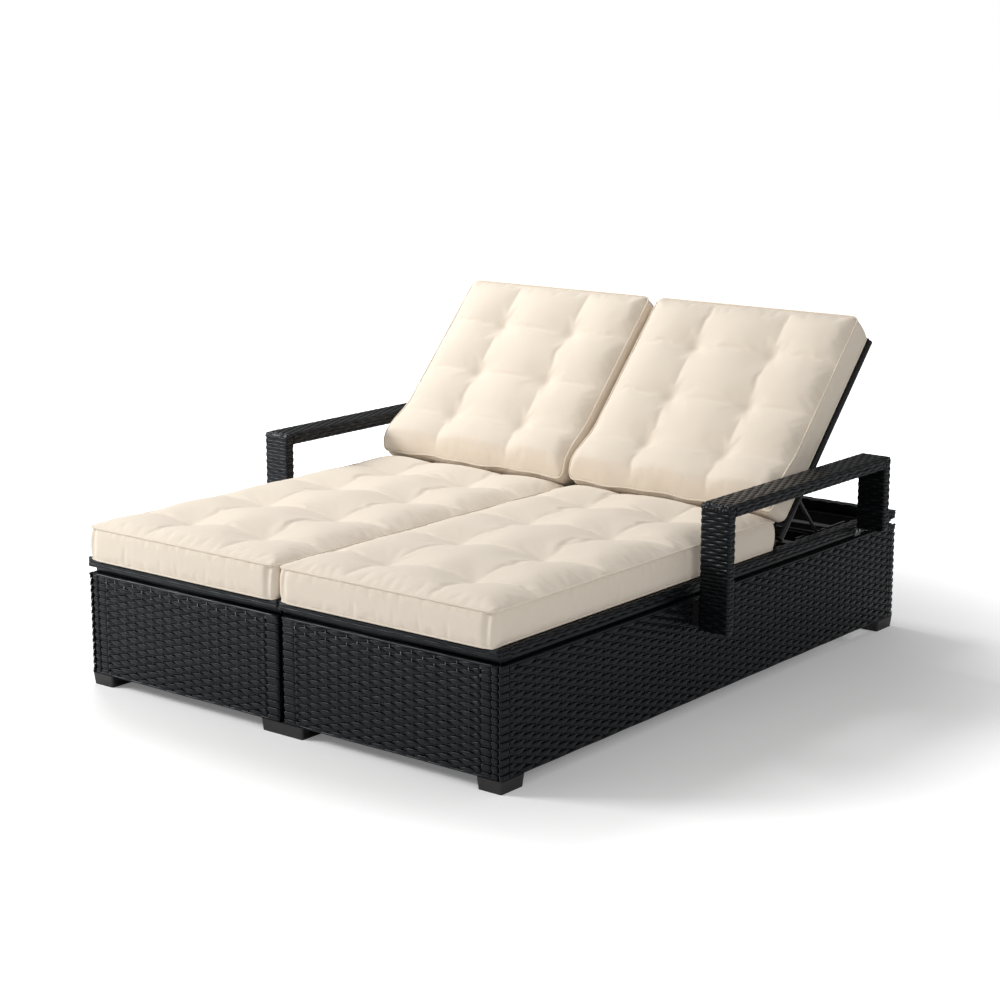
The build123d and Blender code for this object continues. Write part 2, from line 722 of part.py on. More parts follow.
def racks_piece(name, side):
    """The notched racks under a stay's foot bar, on two cross tubes of the frame."""
    eyes = [inboard(lug_limits, stay_eye_gap, stay_eye_width) for lug_limits in (outer_lug, inner_lug)]
    centres = (middle(eyes[0]) - rack_inset, middle(eyes[1]) + rack_inset)
    ys = (rack_front_tube_y - frame_tube / 2, rack_rear_tube_y + frame_tube / 2)
    with BuildPart() as racks:
        for centre in centres:
            xs = place(side, (centre - rack_thickness / 2, centre + rack_thickness / 2))
            block(xs, ys, (rim_bottom, rack_top))
            for notch in range(notch_count):
                y = pivot_y + stay_reach + notch_pitch * notch
                z = rack_top + notch_radius - notch_depth
                rod(xs, y, z, notch_radius, mode=Mode.SUBTRACT)
    save(racks.part, f"{name}_notched_racks")


def feet_pieces():
    """A foot under each corner and a wide foot under each end of the seam."""
    for label, end in (("front", -1), ("rear", 1)):
        for name, side in SIDES.items():
            xs = place(side, (panel_face - corner_foot_width, panel_face))
            foot_piece(f"{label}_{name}_foot", xs, end)
        foot_piece(f"{label}_centre_foot", (-centre_foot_width / 2, centre_foot_width / 2), end)


def main():
    """Builds and writes every piece."""
    os.makedirs("parts", exist_ok=True)
    for name, side in SIDES.items():
        side_panel_piece(name, side)
        side_rim_piece(name, side)
        for label, end in (("front", -1), ("rear", 1)):
            end_panel_piece(name, side, label, end)
            end_rim_piece(name, side, label, end)
        base_frame_piece(name, side)
        seat_deck_piece(name, side)
        seat_cushion_piece(name, side)
        arm_pieces(name, side)
        arm_fastener_pieces(name, side)
        back_side_tube_piece(name, side, "outer", outer_tube_x, outer_lug)
        back_side_tube_piece(name, side, "inner", inner_tube_x, inner_lug)
        back_cross_tubes_piece(name, side)
        back_cover_pieces(name, side)
        hinge_pieces(name, side)
        stay_pieces(name, side)
        racks_piece(name, side)
    feet_pieces()
    seam_bolts_piece()


if __name__ == "__main__":
    main()
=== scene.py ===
import math
import random
from collections import namedtuple

import bmesh
import bpy
from bpy.props import FloatProperty, FloatVectorProperty, PointerProperty
from mathutils import Matrix, Vector, noise


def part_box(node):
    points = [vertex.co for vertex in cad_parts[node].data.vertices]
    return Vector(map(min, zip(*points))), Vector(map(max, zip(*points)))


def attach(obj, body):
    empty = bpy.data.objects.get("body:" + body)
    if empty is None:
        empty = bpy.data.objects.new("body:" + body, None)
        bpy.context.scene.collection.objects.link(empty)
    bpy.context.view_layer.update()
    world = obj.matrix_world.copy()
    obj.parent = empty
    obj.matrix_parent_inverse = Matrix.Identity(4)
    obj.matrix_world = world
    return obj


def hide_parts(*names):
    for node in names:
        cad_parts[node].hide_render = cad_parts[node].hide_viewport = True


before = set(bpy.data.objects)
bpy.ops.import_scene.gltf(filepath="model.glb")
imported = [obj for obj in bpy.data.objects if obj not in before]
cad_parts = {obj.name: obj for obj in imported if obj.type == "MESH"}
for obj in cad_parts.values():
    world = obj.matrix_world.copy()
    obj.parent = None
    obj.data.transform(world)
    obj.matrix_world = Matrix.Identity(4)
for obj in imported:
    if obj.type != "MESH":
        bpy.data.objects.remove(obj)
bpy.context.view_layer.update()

bl_info = {
    "name": "Double chaise lounger",
    "version": (1, 0, 0),
    "blender": (4, 5, 0),
    "location": "3D View > Sidebar > Lounger",
    "description": "Woven base, woven arms and tufted cushions of a double chaise lounger",
    "category": "Add Mesh",
}

# rest position of the backrests, as the part has them
PIVOT = Vector((0.0, 0.298, 0.340))
TILT = math.radians(47.0)
ALONG_BACK = Vector((0.0, math.cos(TILT), math.sin(TILT)))
OUT_OF_BACK = Vector((0.0, -math.sin(TILT), math.cos(TILT)))

SIDES = {"left": -1, "right": 1}


# ---------------------------------------------------------------- settings

def size_of(name, about, value):
    """A setting in metres."""
    return FloatProperty(name=name, description=about, default=value, unit="LENGTH")


def share_of(name, about, value):
    """A setting that is a share of something."""
    return FloatProperty(name=name, description=about, default=value, subtype="FACTOR")


def number_of(name, about, value):
    """A plain number."""
    return FloatProperty(name=name, description=about, default=value)


def power_of(name, about, value):
    """A setting in watts."""
    return FloatProperty(name=name, description=about, default=value, unit="POWER")


def colour_of(name, about, value):
    """A colour setting."""
    return FloatVectorProperty(name=name, description=about, subtype="COLOR", size=3, default=value)


class LoungerWeave(bpy.types.PropertyGroup):
    """Sizes and colour of the woven resin."""

    row_pitch: size_of("Row pitch", "Height of one row of the weave", 0.010)
    stake_pitch: size_of("Stake pitch", "Distance between the upright stakes", 0.034)
    lift: size_of("Lift", "How far a strand rises and falls over the stakes", 0.0017)
    arm_lift: size_of("Arm lift", "The same rise and fall on the arms and rims", 0.0007)
    arm_stake_pitch: size_of("Arm stake pitch", "Distance between the stakes of the arms", 0.0245)
    thickness: size_of("Thickness", "Thickness of a strand at its crown", 0.0026)
    spread: share_of("Spread", "How much wider a strand is where it lies on top", 0.22)
    colour: colour_of("Colour", "Colour of the resin", (0.0042, 0.0046, 0.0056))


class LoungerCushion(bpy.types.PropertyGroup):
    """Sizes and colour of the cushions."""

    seam_height: size_of("Seam height", "Height of the upper piping over the underside", 0.085)
    pillow_rise: size_of("Pillow rise", "Rise of the tops between the tufts before filling", 0.017)
    tuft_level: size_of("Tuft level", "Height of the tufts over the seam", -0.002)
    pressure: number_of("Pressure", "Pressure of the filling", 3.0)
    spare_cloth: share_of("Spare cloth", "How much larger the cloth is than its flat cut", 0.011)
    bending: number_of("Bending", "Stiffness of the cloth in bending", 0.3)
    cloth_mass: number_of("Cloth mass", "Mass of each point of the cloth while it is filled", 0.3)
    fill_cap: size_of("Fill cap", "Longest way that a point of the cloth may move", 0.020)
    corner: size_of("Corner radius", "Radius of the upright corners", 0.026)
    piping: size_of("Piping radius", "Radius of the cord in the seams", 0.0027)
    colour: colour_of("Colour", "Colour of the cloth", (0.80, 0.708, 0.595))


class LoungerMetal(bpy.types.PropertyGroup):
    """Colours of the steel, the fasteners and the feet."""

    coat: colour_of("Powder coat", "Colour of the coated steel", (0.012, 0.012, 0.012))
    zinc: colour_of("Zinc", "Colour of the plated fasteners", (0.25, 0.255, 0.265))
    foot: colour_of("Feet", "Colour of the moulded feet", (0.014, 0.013, 0.013))


class LoungerStage(bpy.types.PropertyGroup):
    """Floor, lamps and surroundings."""

    floor: colour_of("Floor", "Colour of the floor", (0.90, 0.90, 0.90))
    key: power_of("Key lamp", "Power of the large lamp in front on the left", 203.0)
    overhead: power_of("Overhead lamp", "Power of the lamp high on the left", 66.0)
    side: power_of("Side lamp", "Power of the weaker lamp on the right", 36.0)
    fill: number_of("Fill", "Strength of the surroundings on the object", 0.35)
    shine: number_of("Shine", "Strength of the surroundings in reflections", 0.22)


# ---------------------------------------------------------------- materials

WICKER = "Black resin wicker"
DECK = "Woven resin deck"
CLOTH = "Cream outdoor cloth"
COAT = "Black powder coat"
ZINC = "Zinc plate"
FOOT = "Moulded foot"
FLOOR = "Pale floor"
GRAIN_GROUP = "Resin grain"
CLOTH_GROUP = "Cloth weave"
SPECKLE_GROUP = "Fine speckle"
DARK = (0.012, 0.012, 0.012, 1)


def new_group(name, inputs, outputs):
    """A shader node group with named sockets."""
    group = bpy.data.node_groups.new(name, "ShaderNodeTree")
    for label, kind, value in inputs:
        socket = group.interface.new_socket(name=label, in_out="INPUT", socket_type=f"NodeSocket{kind}")
        socket.default_value = value
    for label, kind in outputs:
        group.interface.new_socket(name=label, in_out="OUTPUT", socket_type=f"NodeSocket{kind}")
    return group, group.nodes.new("NodeGroupInput").outputs, group.nodes.new("NodeGroupOutput").inputs


def set_inputs(node, **values):
    """Sets sockets of a node by name; an underscore stands for a space."""
    for label, value in values.items():
        node.inputs[label.replace("_", " ")].default_value = value
    return node


def add_node(tree, kind, **values):
    """A node with its settings."""
    node = tree.nodes.new(f"ShaderNode{kind}")
    for key, value in values.items():
        setattr(node, key, value)
    return node


def add_math(tree, operation, *operands):
    """A Math node on sockets or numbers."""
    node = add_node(tree, "Math", operation=operation)
    for socket, value in zip(node.inputs, operands):
        if isinstance(value, (int, float)):
            socket.default_value = value
        else:
            tree.links.new(value, socket)
    return node.outputs[0]


def add_noise(tree, vector, **values):
    """A noise texture on a vector."""
    texture = set_inputs(add_node(tree, "TexNoise"), **values)
    tree.links.new(vector, texture.inputs["Vector"])
    return texture


def add_vector(tree, *parts):
    """A vector from sockets, where None leaves a part at zero."""
    vector = add_node(tree, "CombineXYZ")
    for socket, part in zip(vector.inputs, parts):
        if part is not None:
            tree.links.new(part, socket)
    return vector.outputs[0]


def add_tint(tree, base, tone):
    """A colour made lighter or darker by a tone."""
    grey = add_node(tree, "CombineColor")
    for place in range(3):
        tree.links.new(tone, grey.inputs[place])
    tinted = add_node(tree, "Mix", data_type="RGBA", blend_type="MULTIPLY")
    tinted.inputs["Factor"].default_value = 1.0
    tree.links.new(base, tinted.inputs[6])
    tree.links.new(grey.outputs[0], tinted.inputs[7])
    return tinted.outputs[2]


def resin_grain_group():
    """Fine lengthwise grain and slow changes of tone of a resin strand."""
    group, given, result = new_group(
        GRAIN_GROUP,
        [("Along", "Float", 0.0), ("Across", "Float", 0.0), ("Tone", "Float", 0.5), ("Base", "Color", DARK)],
        [("Colour", "Color"), ("Roughness", "Float"), ("Height", "Float")],
    )

    def scaled(label, factor):
        return add_math(group, "MULTIPLY", given[label], factor)

    grain = add_vector(group, scaled("Along", 28.0), scaled("Across", 1500.0), scaled("Tone", 40.0))
    lines = add_noise(group, grain, Scale=1.0, Detail=3.0, Roughness=0.6).outputs["Fac"]
    stretch = add_vector(group, scaled("Along", 22.0), None, scaled("Tone", 90.0))
    patches = add_noise(group, stretch, Scale=1.0, Detail=2.0).outputs["Fac"]
    strength = add_math(group, "MULTIPLY_ADD", patches, 0.7, 0.25)
    tone = add_math(group, "MULTIPLY_ADD", given["Tone"], 0.7, strength)
    rough = add_math(group, "MULTIPLY_ADD", patches, 0.22, 0.17)
    rough = add_math(group, "MULTIPLY_ADD", lines, 0.12, rough)
    group.links.new(add_tint(group, given["Base"], tone), result["Colour"])
    group.links.new(rough, result["Roughness"])
    group.links.new(lines, result["Height"])


def cloth_weave_group():
    """Crossed threads with slubs, and slow changes of shade, from a UV map in metres."""
    group, given, result = new_group(
        CLOTH_GROUP,
        [("Vector", "Vector", (0, 0, 0)), ("Thread", "Float", 0.0009), ("Base", "Color", (0.8, 0.7, 0.55, 1))],
        [("Colour", "Color"), ("Height", "Float"), ("Roughness", "Float")],
    )
    links = group.links
    parts = add_node(group, "SeparateXYZ")
    links.new(given["Vector"], parts.inputs[0])
    turns = add_math(group, "DIVIDE", 2 * math.pi, given["Thread"])
    waves = [add_math(group, "SINE", add_math(group, "MULTIPLY", parts.outputs[place], turns)) for place in range(2)]
    slubs = []
    for scale in ((90.0, 900.0, 90.0), (900.0, 90.0, 90.0)):
        stretch = set_inputs(add_node(group, "Mapping"), Scale=scale)
        links.new(given["Vector"], stretch.inputs["Vector"])
        slubs.append(add_noise(group, stretch.outputs[0], Scale=1.0, Detail=2.0).outputs["Fac"])
    both = add_math(group, "ADD", *slubs)
    height = add_math(group, "MULTIPLY_ADD", add_math(group, "MULTIPLY", *waves), 0.35, both)
    clouds = add_noise(group, given["Vector"], Scale=7.0, Detail=3.0, Roughness=0.5)
    shade = add_math(group, "MULTIPLY_ADD", clouds.outputs["Fac"], 0.05, 0.93)
    fleck = add_math(group, "MULTIPLY_ADD", both, 0.045, shade)
    links.new(add_tint(group, given["Base"], fleck), result["Colour"])
    links.new(add_math(group, "MULTIPLY_ADD", both, 0.08, 0.78), result["Roughness"])
    links.new(height, result["Height"])


def fine_speckle_group():
    """Fine texture of a sprayed, plated or moulded surface, on Object coordinates."""
    group, given, result = new_group(
        SPECKLE_GROUP,
        [("Scale", "Float", 900.0), ("Base", "Color", DARK), ("Variation", "Float", 0.3), ("Smooth", "Float", 0.3)],
        [("Colour", "Color"), ("Roughness", "Float"), ("Height", "Float")],
    )
    where = add_node(group, "TexCoord").outputs["Object"]
    fine = add_noise(group, where, Detail=2.0)
    group.links.new(given["Scale"], fine.inputs["Scale"])
    broad = add_noise(group, where, Scale=14.0, Detail=4.0).outputs["Fac"]
    tone = add_math(group, "MULTIPLY", add_math(group, "SUBTRACT", broad, 0.5), given["Variation"])
    tone = add_math(group, "ADD", tone, 1.0)
    group.links.new(add_tint(group, given["Base"], tone), result["Colour"])
    group.links.new(add_math(group, "MULTIPLY_ADD", broad, 0.15, given["Smooth"]), result["Roughness"])
    group.links.new(fine.outputs["Fac"], result["Height"])


def start_material(name):
    """A material with a Principled shader and nothing linked yet."""
    material = bpy.data.materials.new(name)
    material.use_nodes = True
    tree = material.node_tree
    return tree, next(node for node in tree.nodes if node.type == "BSDF_PRINCIPLED")


def add_bump(tree, shader, height, strength, distance, **values):
    """Bumps the surface by a height."""
    bump = set_inputs(add_node(tree, "Bump", **values), Strength=strength, Distance=distance)
    tree.links.new(height, bump.inputs["Height"])
    tree.links.new(bump.outputs["Normal"], shader.inputs["Normal"])


def place_group(tree, shader, name, colour, strength, distance):
    """A node group that gives the shader its colour, its roughness and a bump."""
    node = add_node(tree, "Group", node_tree=bpy.data.node_groups[name])
    set_inputs(node, Base=(*colour, 1))
    tree.links.new(node.outputs["Colour"], shader.inputs["Base Color"])
    tree.links.new(node.outputs["Roughness"], shader.inputs["Roughness"])
    add_bump(tree, shader, node.outputs["Height"], strength, distance)
    return node


def wicker_material(settings):
    """Black resin strands, with a grain that follows each strand."""
    tree, shader = start_material(WICKER)
    grain = place_group(tree, shader, GRAIN_GROUP, settings.colour, 0.35, 0.0004)
    for label, attribute in (("Along", "run"), ("Across", "across"), ("Tone", "tone")):
        reader = add_node(tree, "Attribute", attribute_name=attribute)
        tree.links.new(reader.outputs["Fac"], grain.inputs[label])
    set_inputs(shader, Specular_IOR_Level=0.30, Specular_Tint=(0.86, 0.93, 1.0, 1.0))


def deck_material(settings):
    """The woven decks that stay plain slabs: crossed strands as a bump."""
    tree, shader = start_material(DECK)
    checks = set_inputs(
        add_node(tree, "TexBrick"), Scale=1.0, Brick_Width=0.034, Row_Height=0.010, Mortar_Size=0.0008,
        Mortar_Smooth=1.0, Mortar=(0.002, 0.002, 0.002, 1),
        Color1=(*[c * 0.9 for c in settings.colour], 1), Color2=(*[c * 1.3 for c in settings.colour], 1),
    )
    tree.links.new(add_node(tree, "TexCoord").outputs["Object"], checks.inputs["Vector"])
    tree.links.new(checks.outputs["Color"], shader.inputs["Base Color"])
    add_bump(tree, shader, checks.outputs["Fac"], 0.8, 0.002, invert=True)
    set_inputs(shader, Roughness=0.42)


def cloth_material(settings):
    """Cream outdoor cloth, with threads that follow the piece's UV map."""
    tree, shader = start_material(CLOTH)
    weave = place_group(tree, shader, CLOTH_GROUP, settings.colour, 0.22, 0.0003)
    place = add_node(tree, "UVMap", uv_map="cloth")
    tree.links.new(place.outputs["UV"], weave.inputs["Vector"])
    set_inputs(shader, Sheen_Weight=0.12, Sheen_Roughness=0.45, Specular_IOR_Level=0.25)


def speckled_material(name, colour, metallic, smooth, variation, scale, bump, coat=0.0):
    """Steel, zinc or moulded plastic."""
    tree, shader = start_material(name)
    speckle = place_group(tree, shader, SPECKLE_GROUP, colour, bump, 0.0003)
    set_inputs(speckle, Scale=scale, Variation=variation, Smooth=smooth)
    set_inputs(shader, Metallic=metallic, Coat_Weight=coat)


def make_materials(scene):
    """Every material of the lounger, made once."""
    resin_grain_group()
    cloth_weave_group()
    fine_speckle_group()
    wicker_material(scene.lounger_weave)
    deck_material(scene.lounger_weave)
    cloth_material(scene.lounger_cushion)
    metal = scene.lounger_metal
    speckled_material(COAT, metal.coat, 0.0, 0.22, 0.3, 1400.0, 0.18, coat=0.15)
    speckled_material(ZINC, metal.zinc, 1.0, 0.26, 0.25, 2500.0, 0.1)
    speckled_material(FOOT, metal.foot, 0.0, 0.36, 0.3, 1800.0, 0.3)


# ---------------------------------------------------------------- woven strands

Strands = namedtuple("Strands", "row_pitch stake_pitch lift thickness spread")
STRAND_VALUES = ("run", "across", "tone")
# how square the over and under of a strand is, and how unevenly the rows lie
SQUARENESS = 1.7
ROW_JITTER = 0.0003
UP = Vector((0, 0, 1))


def panel_strands(settings):
    """The strands of the base's panels."""
    return Strands(
        settings.row_pitch, settings.stake_pitch, settings.lift, settings.thickness, settings.spread,
    )


def arm_strands(settings):
    """The flatter and closer strands of the arms."""
    return Strands(
        settings.row_pitch, settings.arm_stake_pitch, settings.arm_lift, settings.thickness, settings.spread * 0.7,
    )


def new_work():
    """A bmesh with the three values that the wicker's grain follows."""
    work = bmesh.new()
    for label in STRAND_VALUES:
        work.verts.layers.float.new(label)
    return work


def strand_layers(work):
    """The layers of those three values."""
    return [work.verts.layers.float[label] for label in STRAND_VALUES]


def add_strand(work, place, length, width, thickness, shape, steps, chance, closed=False, crowd=False):
    """One flat resin strand with a crowned section, closed all round.

    shape gives its lift and its width share at a distance along it; place sets a point of it
    in the row frame from the distance along, the distance across and the height.
    """
    run, across_layer, tone = strand_layers(work)
    start = chance.uniform(0, 50)
    shade = chance.random()
    sway = chance.uniform(0, 2 * math.pi)
    sway_length = chance.uniform(0.16, 0.34)
    made = bmesh.ops.create_grid(work, x_segments=steps, y_segments=8, size=0.5)
    for vert in made["verts"]:
        column = round((vert.co.x + 0.5) * steps)
        turn = (vert.co.y + 0.5) * 2 * math.pi
        tip = 1.0
        if closed:
            distance = column / steps * length
        else:
            share = min(max((column - 1) / (steps - 2), 0.0), 1.0)
            if crowd:
                share = 0.5 - 0.5 * math.cos(math.pi * share)
            distance = share * length
            if column in (0, steps):
                tip = 0.0
        lift, wide = shape(distance)
        side, up = math.cos(turn), math.sin(turn)
        across = width / 2 * wide * math.copysign(abs(side) ** 0.55, side) * tip
        crown = thickness / 2 * math.copysign(abs(up) ** 0.8, up) * tip
        drift = 0.0 if closed else 0.00035 * math.sin(2 * math.pi * distance / sway_length + sway)
        vert[run] = start + distance
        vert[across_layer] = across
        vert[tone] = shade
        vert.co = place(distance, across + drift, lift + crown)


def weave_shape(settings, pitch, phase, chance):
    """A strand that goes over and under stakes at an even pitch."""
    lift = settings.lift * chance.uniform(0.9, 1.08)
    base = -settings.lift - settings.thickness / 2 - chance.uniform(0, 0.0002)
    slip = chance.uniform(-0.06, 0.06)

    def shape(distance):
        wave = math.tanh(SQUARENESS * math.cos(math.pi * distance / pitch + phase + slip)) / math.tanh(SQUARENESS)
        return base + lift * wave, 1.0 + settings.spread * wave
    return shape


def long_shape(settings, length, chance):
    """A long strand along a rim, that only swells a little where it is bound."""
    period = length / max(1, round(length / 0.075))
    start = chance.uniform(0, 2 * math.pi)
    base = -settings.lift - settings.thickness / 2

    def shape(distance):
        wave = math.sin(2 * math.pi * distance / period + start)
        return base + 0.0005 * wave, 0.97 + 0.05 * wave
    return shape


def wrap_shape(settings, length, over, drop, chance):
    """A short strand across one border column, that dives at both ends."""
    base = -settings.lift - settings.thickness / 2
    height = settings.lift * (1.0 if over else -0.35) * chance.uniform(0.85, 1.05)
    wide = 1.0 + settings.spread * (0.9 if over else -0.6)
    fall = 0.0028

    def shape(distance):
        near = min(distance, length - distance)
        dive = max(0.0, 1.0 - near / fall) ** 2
        return base + height - drop * dive, wide
    return shape


STAKE_WIDTH = 0.006
STAKE_THICKNESS = 0.0016


def flat_place(origin, along, up, outward):
    """Places strand points on a flat face."""
    def place(distance, across, height):
        return origin + along * distance + up * across + outward * height
    return place


def weave_face(work, settings, origin, along, up, length, height, columns, chance, drop=0.0045):
    """Fills a face with rows: columns lists (start, end, kind), kind being weave or wrap."""
    outward = along.cross(up)
    rows = max(1, round(height / settings.row_pitch))
    pitch = height / rows
    for row in range(rows):
        y = (row + 0.5) * pitch + chance.uniform(-ROW_JITTER, ROW_JITTER)
        for start, end, kind in columns:
            reach = end - start
            place = flat_place(origin + along * start + up * y, along, up, outward)
            if kind == "wrap":
                shape = wrap_shape(settings, reach, row % 2 == 0, drop, chance)
                add_strand(work, place, reach, pitch, settings.thickness, shape, 10, chance, crowd=True)
            else:
                stakes = max(1, round(reach / settings.stake_pitch))
                shape = weave_shape(settings, reach / stakes, math.pi * row, chance)
                add_strand(work, place, reach, pitch, settings.thickness, shape, stakes * 5 + 2, chance)
    for start, end, kind in columns:
        if kind != "weave":
            continue
        stakes = max(1, round((end - start) / settings.stake_pitch))
        for stake in range(stakes + 1):
            x = start + (end - start) * stake / stakes
            depth = -settings.lift - settings.thickness / 2
            place = flat_place(origin + along * x, up, -along, outward)
            add_strand(work, place, height, STAKE_WIDTH, STAKE_THICKNESS, lambda distance: (depth, 1.0), 6, chance)


def add_bar(work, low, high, bevel=0.0015):
    """A plain bar with eased edges, hidden behind or between strands, with a low tone that is painted shade."""
    run, across_layer, tone = strand_layers(work)
    low, high = Vector(low), Vector(high)
    size = Vector([abs(high[i] - low[i]) for i in range(3)])
    matrix = Matrix.Translation((low + high) / 2) @ Matrix.Diagonal((*size, 1))
    made = bmesh.ops.create_cube(work, size=1.0, matrix=matrix)
    edges = list({edge for vert in made["verts"] for edge in vert.link_edges})
    offset = min(bevel, min(size) * 0.3)
    eased = bmesh.ops.bevel(
        work, geom=edges, affect="EDGES", offset=offset, segments=1, profile=0.5, material=-1,
    )
    for vert in eased["verts"]:
        # every bar gets the same low tone, darker than the strands: painted shade where the gaps and recesses show
        # the bars
        vert[tone] = 0.1
        vert[run] = vert.co.x + vert.co.y
        vert[across_layer] = vert.co.z


def add_rope(work, place, length, radius, steps, chance):
    """A round strand, as along a panel's upper edge."""
    add_strand(work, place, length, radius * 2, radius * 2, lambda distance: (0.0, 1.0), steps, chance)


class RoundedLoop:
    """The outline of a rectangle with round corners, walked from the middle of its lower side."""

    def __init__(self, width, height, radius):
        self.width, self.height, self.radius = width, height, radius
        self.flat_x = width - 2 * radius
        self.flat_y = height - 2 * radius
        self.arc = math.pi / 2 * radius
        self.length = 2 * (self.flat_x + self.flat_y) + 4 * self.arc

    def at(self, distance):
        """Point and outward direction at a distance along the outline."""
        distance = (distance + self.flat_x / 2) % self.length
        corners = (
            (self.flat_x, Vector((-self.flat_x / 2, -self.height / 2)), Vector((1, 0))),
            (self.flat_y, Vector((self.width / 2, -self.flat_y / 2)), Vector((0, 1))),
            (self.flat_x, Vector((self.flat_x / 2, self.height / 2)), Vector((-1, 0))),
            (self.flat_y, Vector((-self.width / 2, self.flat_y / 2)), Vector((0, -1))),
        )
        for flat, start, direction in corners:
            outward = Vector((direction.y, -direction.x))
            if distance <= flat:
                return start + direction * distance, outward
            distance -= flat
            if distance <= self.arc:
                turn = distance / self.radius
                centre = start + direction * flat - outward * self.radius
                facing = outward * math.cos(turn) + direction * math.sin(turn)
                return centre + facing * self.radius, facing
            distance -= self.arc
        return corners[0][1], Vector((0, -1))


def link_piece(work, name, body, node, material):
    """Turns the bmesh into a smooth piece that rides on a body and replaces its CAD node."""
    mesh = bpy.data.meshes.new(name)
    work.to_mesh(mesh)
    work.free()
    for polygon in mesh.polygons:
        polygon.use_smooth = True
    piece = bpy.data.objects.new(name, mesh)
    bpy.context.scene.collection.objects.link(piece)
    mesh.materials.append(bpy.data.materials[material])
    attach(piece, body)
    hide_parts(node)
    return piece


def finish_weave(work, node, body="base"):
    """Cleans up the strands and puts them in the place of their CAD node."""
    bmesh.ops.remove_doubles(work, verts=work.verts[:], dist=2e-6)
    loose = [face for face in work.faces if face.calc_area() < 1e-13]
    if loose:
        bmesh.ops.delete(work, geom=loose, context="FACES_ONLY")
    bmesh.ops.recalc_face_normals(work, faces=work.faces[:])
    link_piece(work, f"{node}_weave", body, node, WICKER)


# ---------------------------------------------------------------- panels of the base

# height of the drawn-in neck over a panel, and of the edge strand's row
PANEL_NECK = 0.008
EDGE_ROW = 0.0065
# where a front or rear panel starts and ends, from the seam outwards
PANEL_START = 0.008
PANEL_END = 0.687
# width of the bars behind the weave, and how deep they reach
BACKING = 0.026
PANEL_BACK = -0.0199


def bordered(length, border):
    """Columns of a face with a wrapped border at both ends."""
    return [(0.0, border, "wrap"), (border, length - border, "weave"), (length - border, length, "wrap")]


def panel_directions(side, label):
    """The direction along a panel, so that along x up points outwards."""
    if label == "front":
        return Vector((1, 0, 0))
    if label == "rear":
        return Vector((-1, 0, 0))
    return Vector((0, 1, 0)) if side > 0 else Vector((0, -1, 0))


def build_panel(name, side, label, settings):
    """One woven panel with its border columns, edge strands, stakes and neck."""
    node = f"{name}_{label}_panel"
    low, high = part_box(node)
    settings = panel_strands(settings)
    chance = random.Random(f"{node} strands")
    work = new_work()
    top = high.z - PANEL_NECK
    bottom = low.z
    along = panel_directions(side, label)
    if label == "side":
        face = high.x if side > 0 else low.x
        length = high.y - low.y
        origin = Vector((face, low.y if side > 0 else high.y, bottom))
        columns = bordered(length, 0.032)
    else:
        face = low.y if label == "front" else high.y
        length = PANEL_END - PANEL_START
        starts_at_seam = (label == "front") == (side > 0)
        origin = Vector((side * (PANEL_START if starts_at_seam else PANEL_END), face, bottom))
        stops = (0.0, 0.042, 0.628, 0.659, length)
        columns = list(zip(stops[:-1], stops[1:], ("wrap", "weave", "wrap", "wrap")))
        if not starts_at_seam:
            columns = [(length - end, length - start, kind) for start, end, kind in reversed(columns)]
    outward = along.cross(UP)
    rise = top - bottom
    weave_face(work, settings, origin + UP * 0.003, along, UP, length, rise - EDGE_ROW - 0.003, columns, chance)
    for level, depth, radius in ((rise - 0.0034, 0.0036, 0.0034), (0.0026, 0.0034, 0.0026)):
        place = flat_place(origin + UP * level - outward * depth, along, UP, outward)
        add_rope(work, place, length, radius, round(length / 0.02), chance)

    def bar(x0, x1, y0, y1, z0, z1):
        first = origin + along * x0 + UP * y0 + outward * z0
        second = origin + along * x1 + UP * y1 + outward * z1
        corners = list(zip(first, second))
        add_bar(work, [min(pair) for pair in corners], [max(pair) for pair in corners])

    # the side panel's backing ends where those of the front and rear panels pass
    trim, foot = (0.0245, SIDE_RIM_FOOT) if label == "side" else (0.0, RIM_FOOT)
    for x0, x1, y0, y1 in (
        (trim, length - trim, 0.0, BACKING),
        (trim, length - trim, rise - BACKING, rise),
        (trim, trim + BACKING, BACKING, rise - BACKING),
        (length - trim - BACKING, length - trim, BACKING, rise - BACKING),
    ):
        bar(x0, x1, y0, y1, PANEL_BACK, -0.0062)
    # a thin sheet behind the whole weave, dark through the bars' low tone: painted shade that closes the gaps where
    # the hollow inside would show
    bar(0.003, length - 0.003, 0.002, rise - 0.002, -0.0077, -0.0063)
    # the neck bar, set deep and dark through the same low tone: painted shade in the gap under the rim
    bar(trim, length - trim, rise - 0.002, rise + PANEL_NECK + foot + 0.001, PANEL_BACK, -0.0150)
    finish_weave(work, node)


class LOUNGER_OT_panels(bpy.types.Operator):
    """Weave the front, side and rear panels of both base halves"""

    bl_idname = "lounger.panels"
    bl_label = "Woven panels"

    def execute(self, context):
        settings = context.scene.lounger_weave
        for name, side in SIDES.items():
            for label in ("front", "side", "rear"):
                build_panel(name, side, label, settings)
        return {"FINISHED"}


# ---------------------------------------------------------------- rims

RIM_EDGE = 0.007


def rim_profile(distance, height):
    """Point and facing of the rim's section, walked up its outer face and over its top.

    Returns the distance in from the outer face, the height over its underside and the facing.
    """
    face = height - RIM_EDGE
    arc = math.pi / 2 * RIM_EDGE
    if distance <= face:
        return 0.0, distance, (1.0, 0.0)
    if distance <= face + arc:
        turn = (distance - face) / RIM_EDGE
        inward = RIM_EDGE * (1 - math.cos(turn))
        return inward, face + RIM_EDGE * math.sin(turn), (math.cos(turn), math.sin(turn))
    return RIM_EDGE + distance - face - arc, height, (0.0, 1.0)


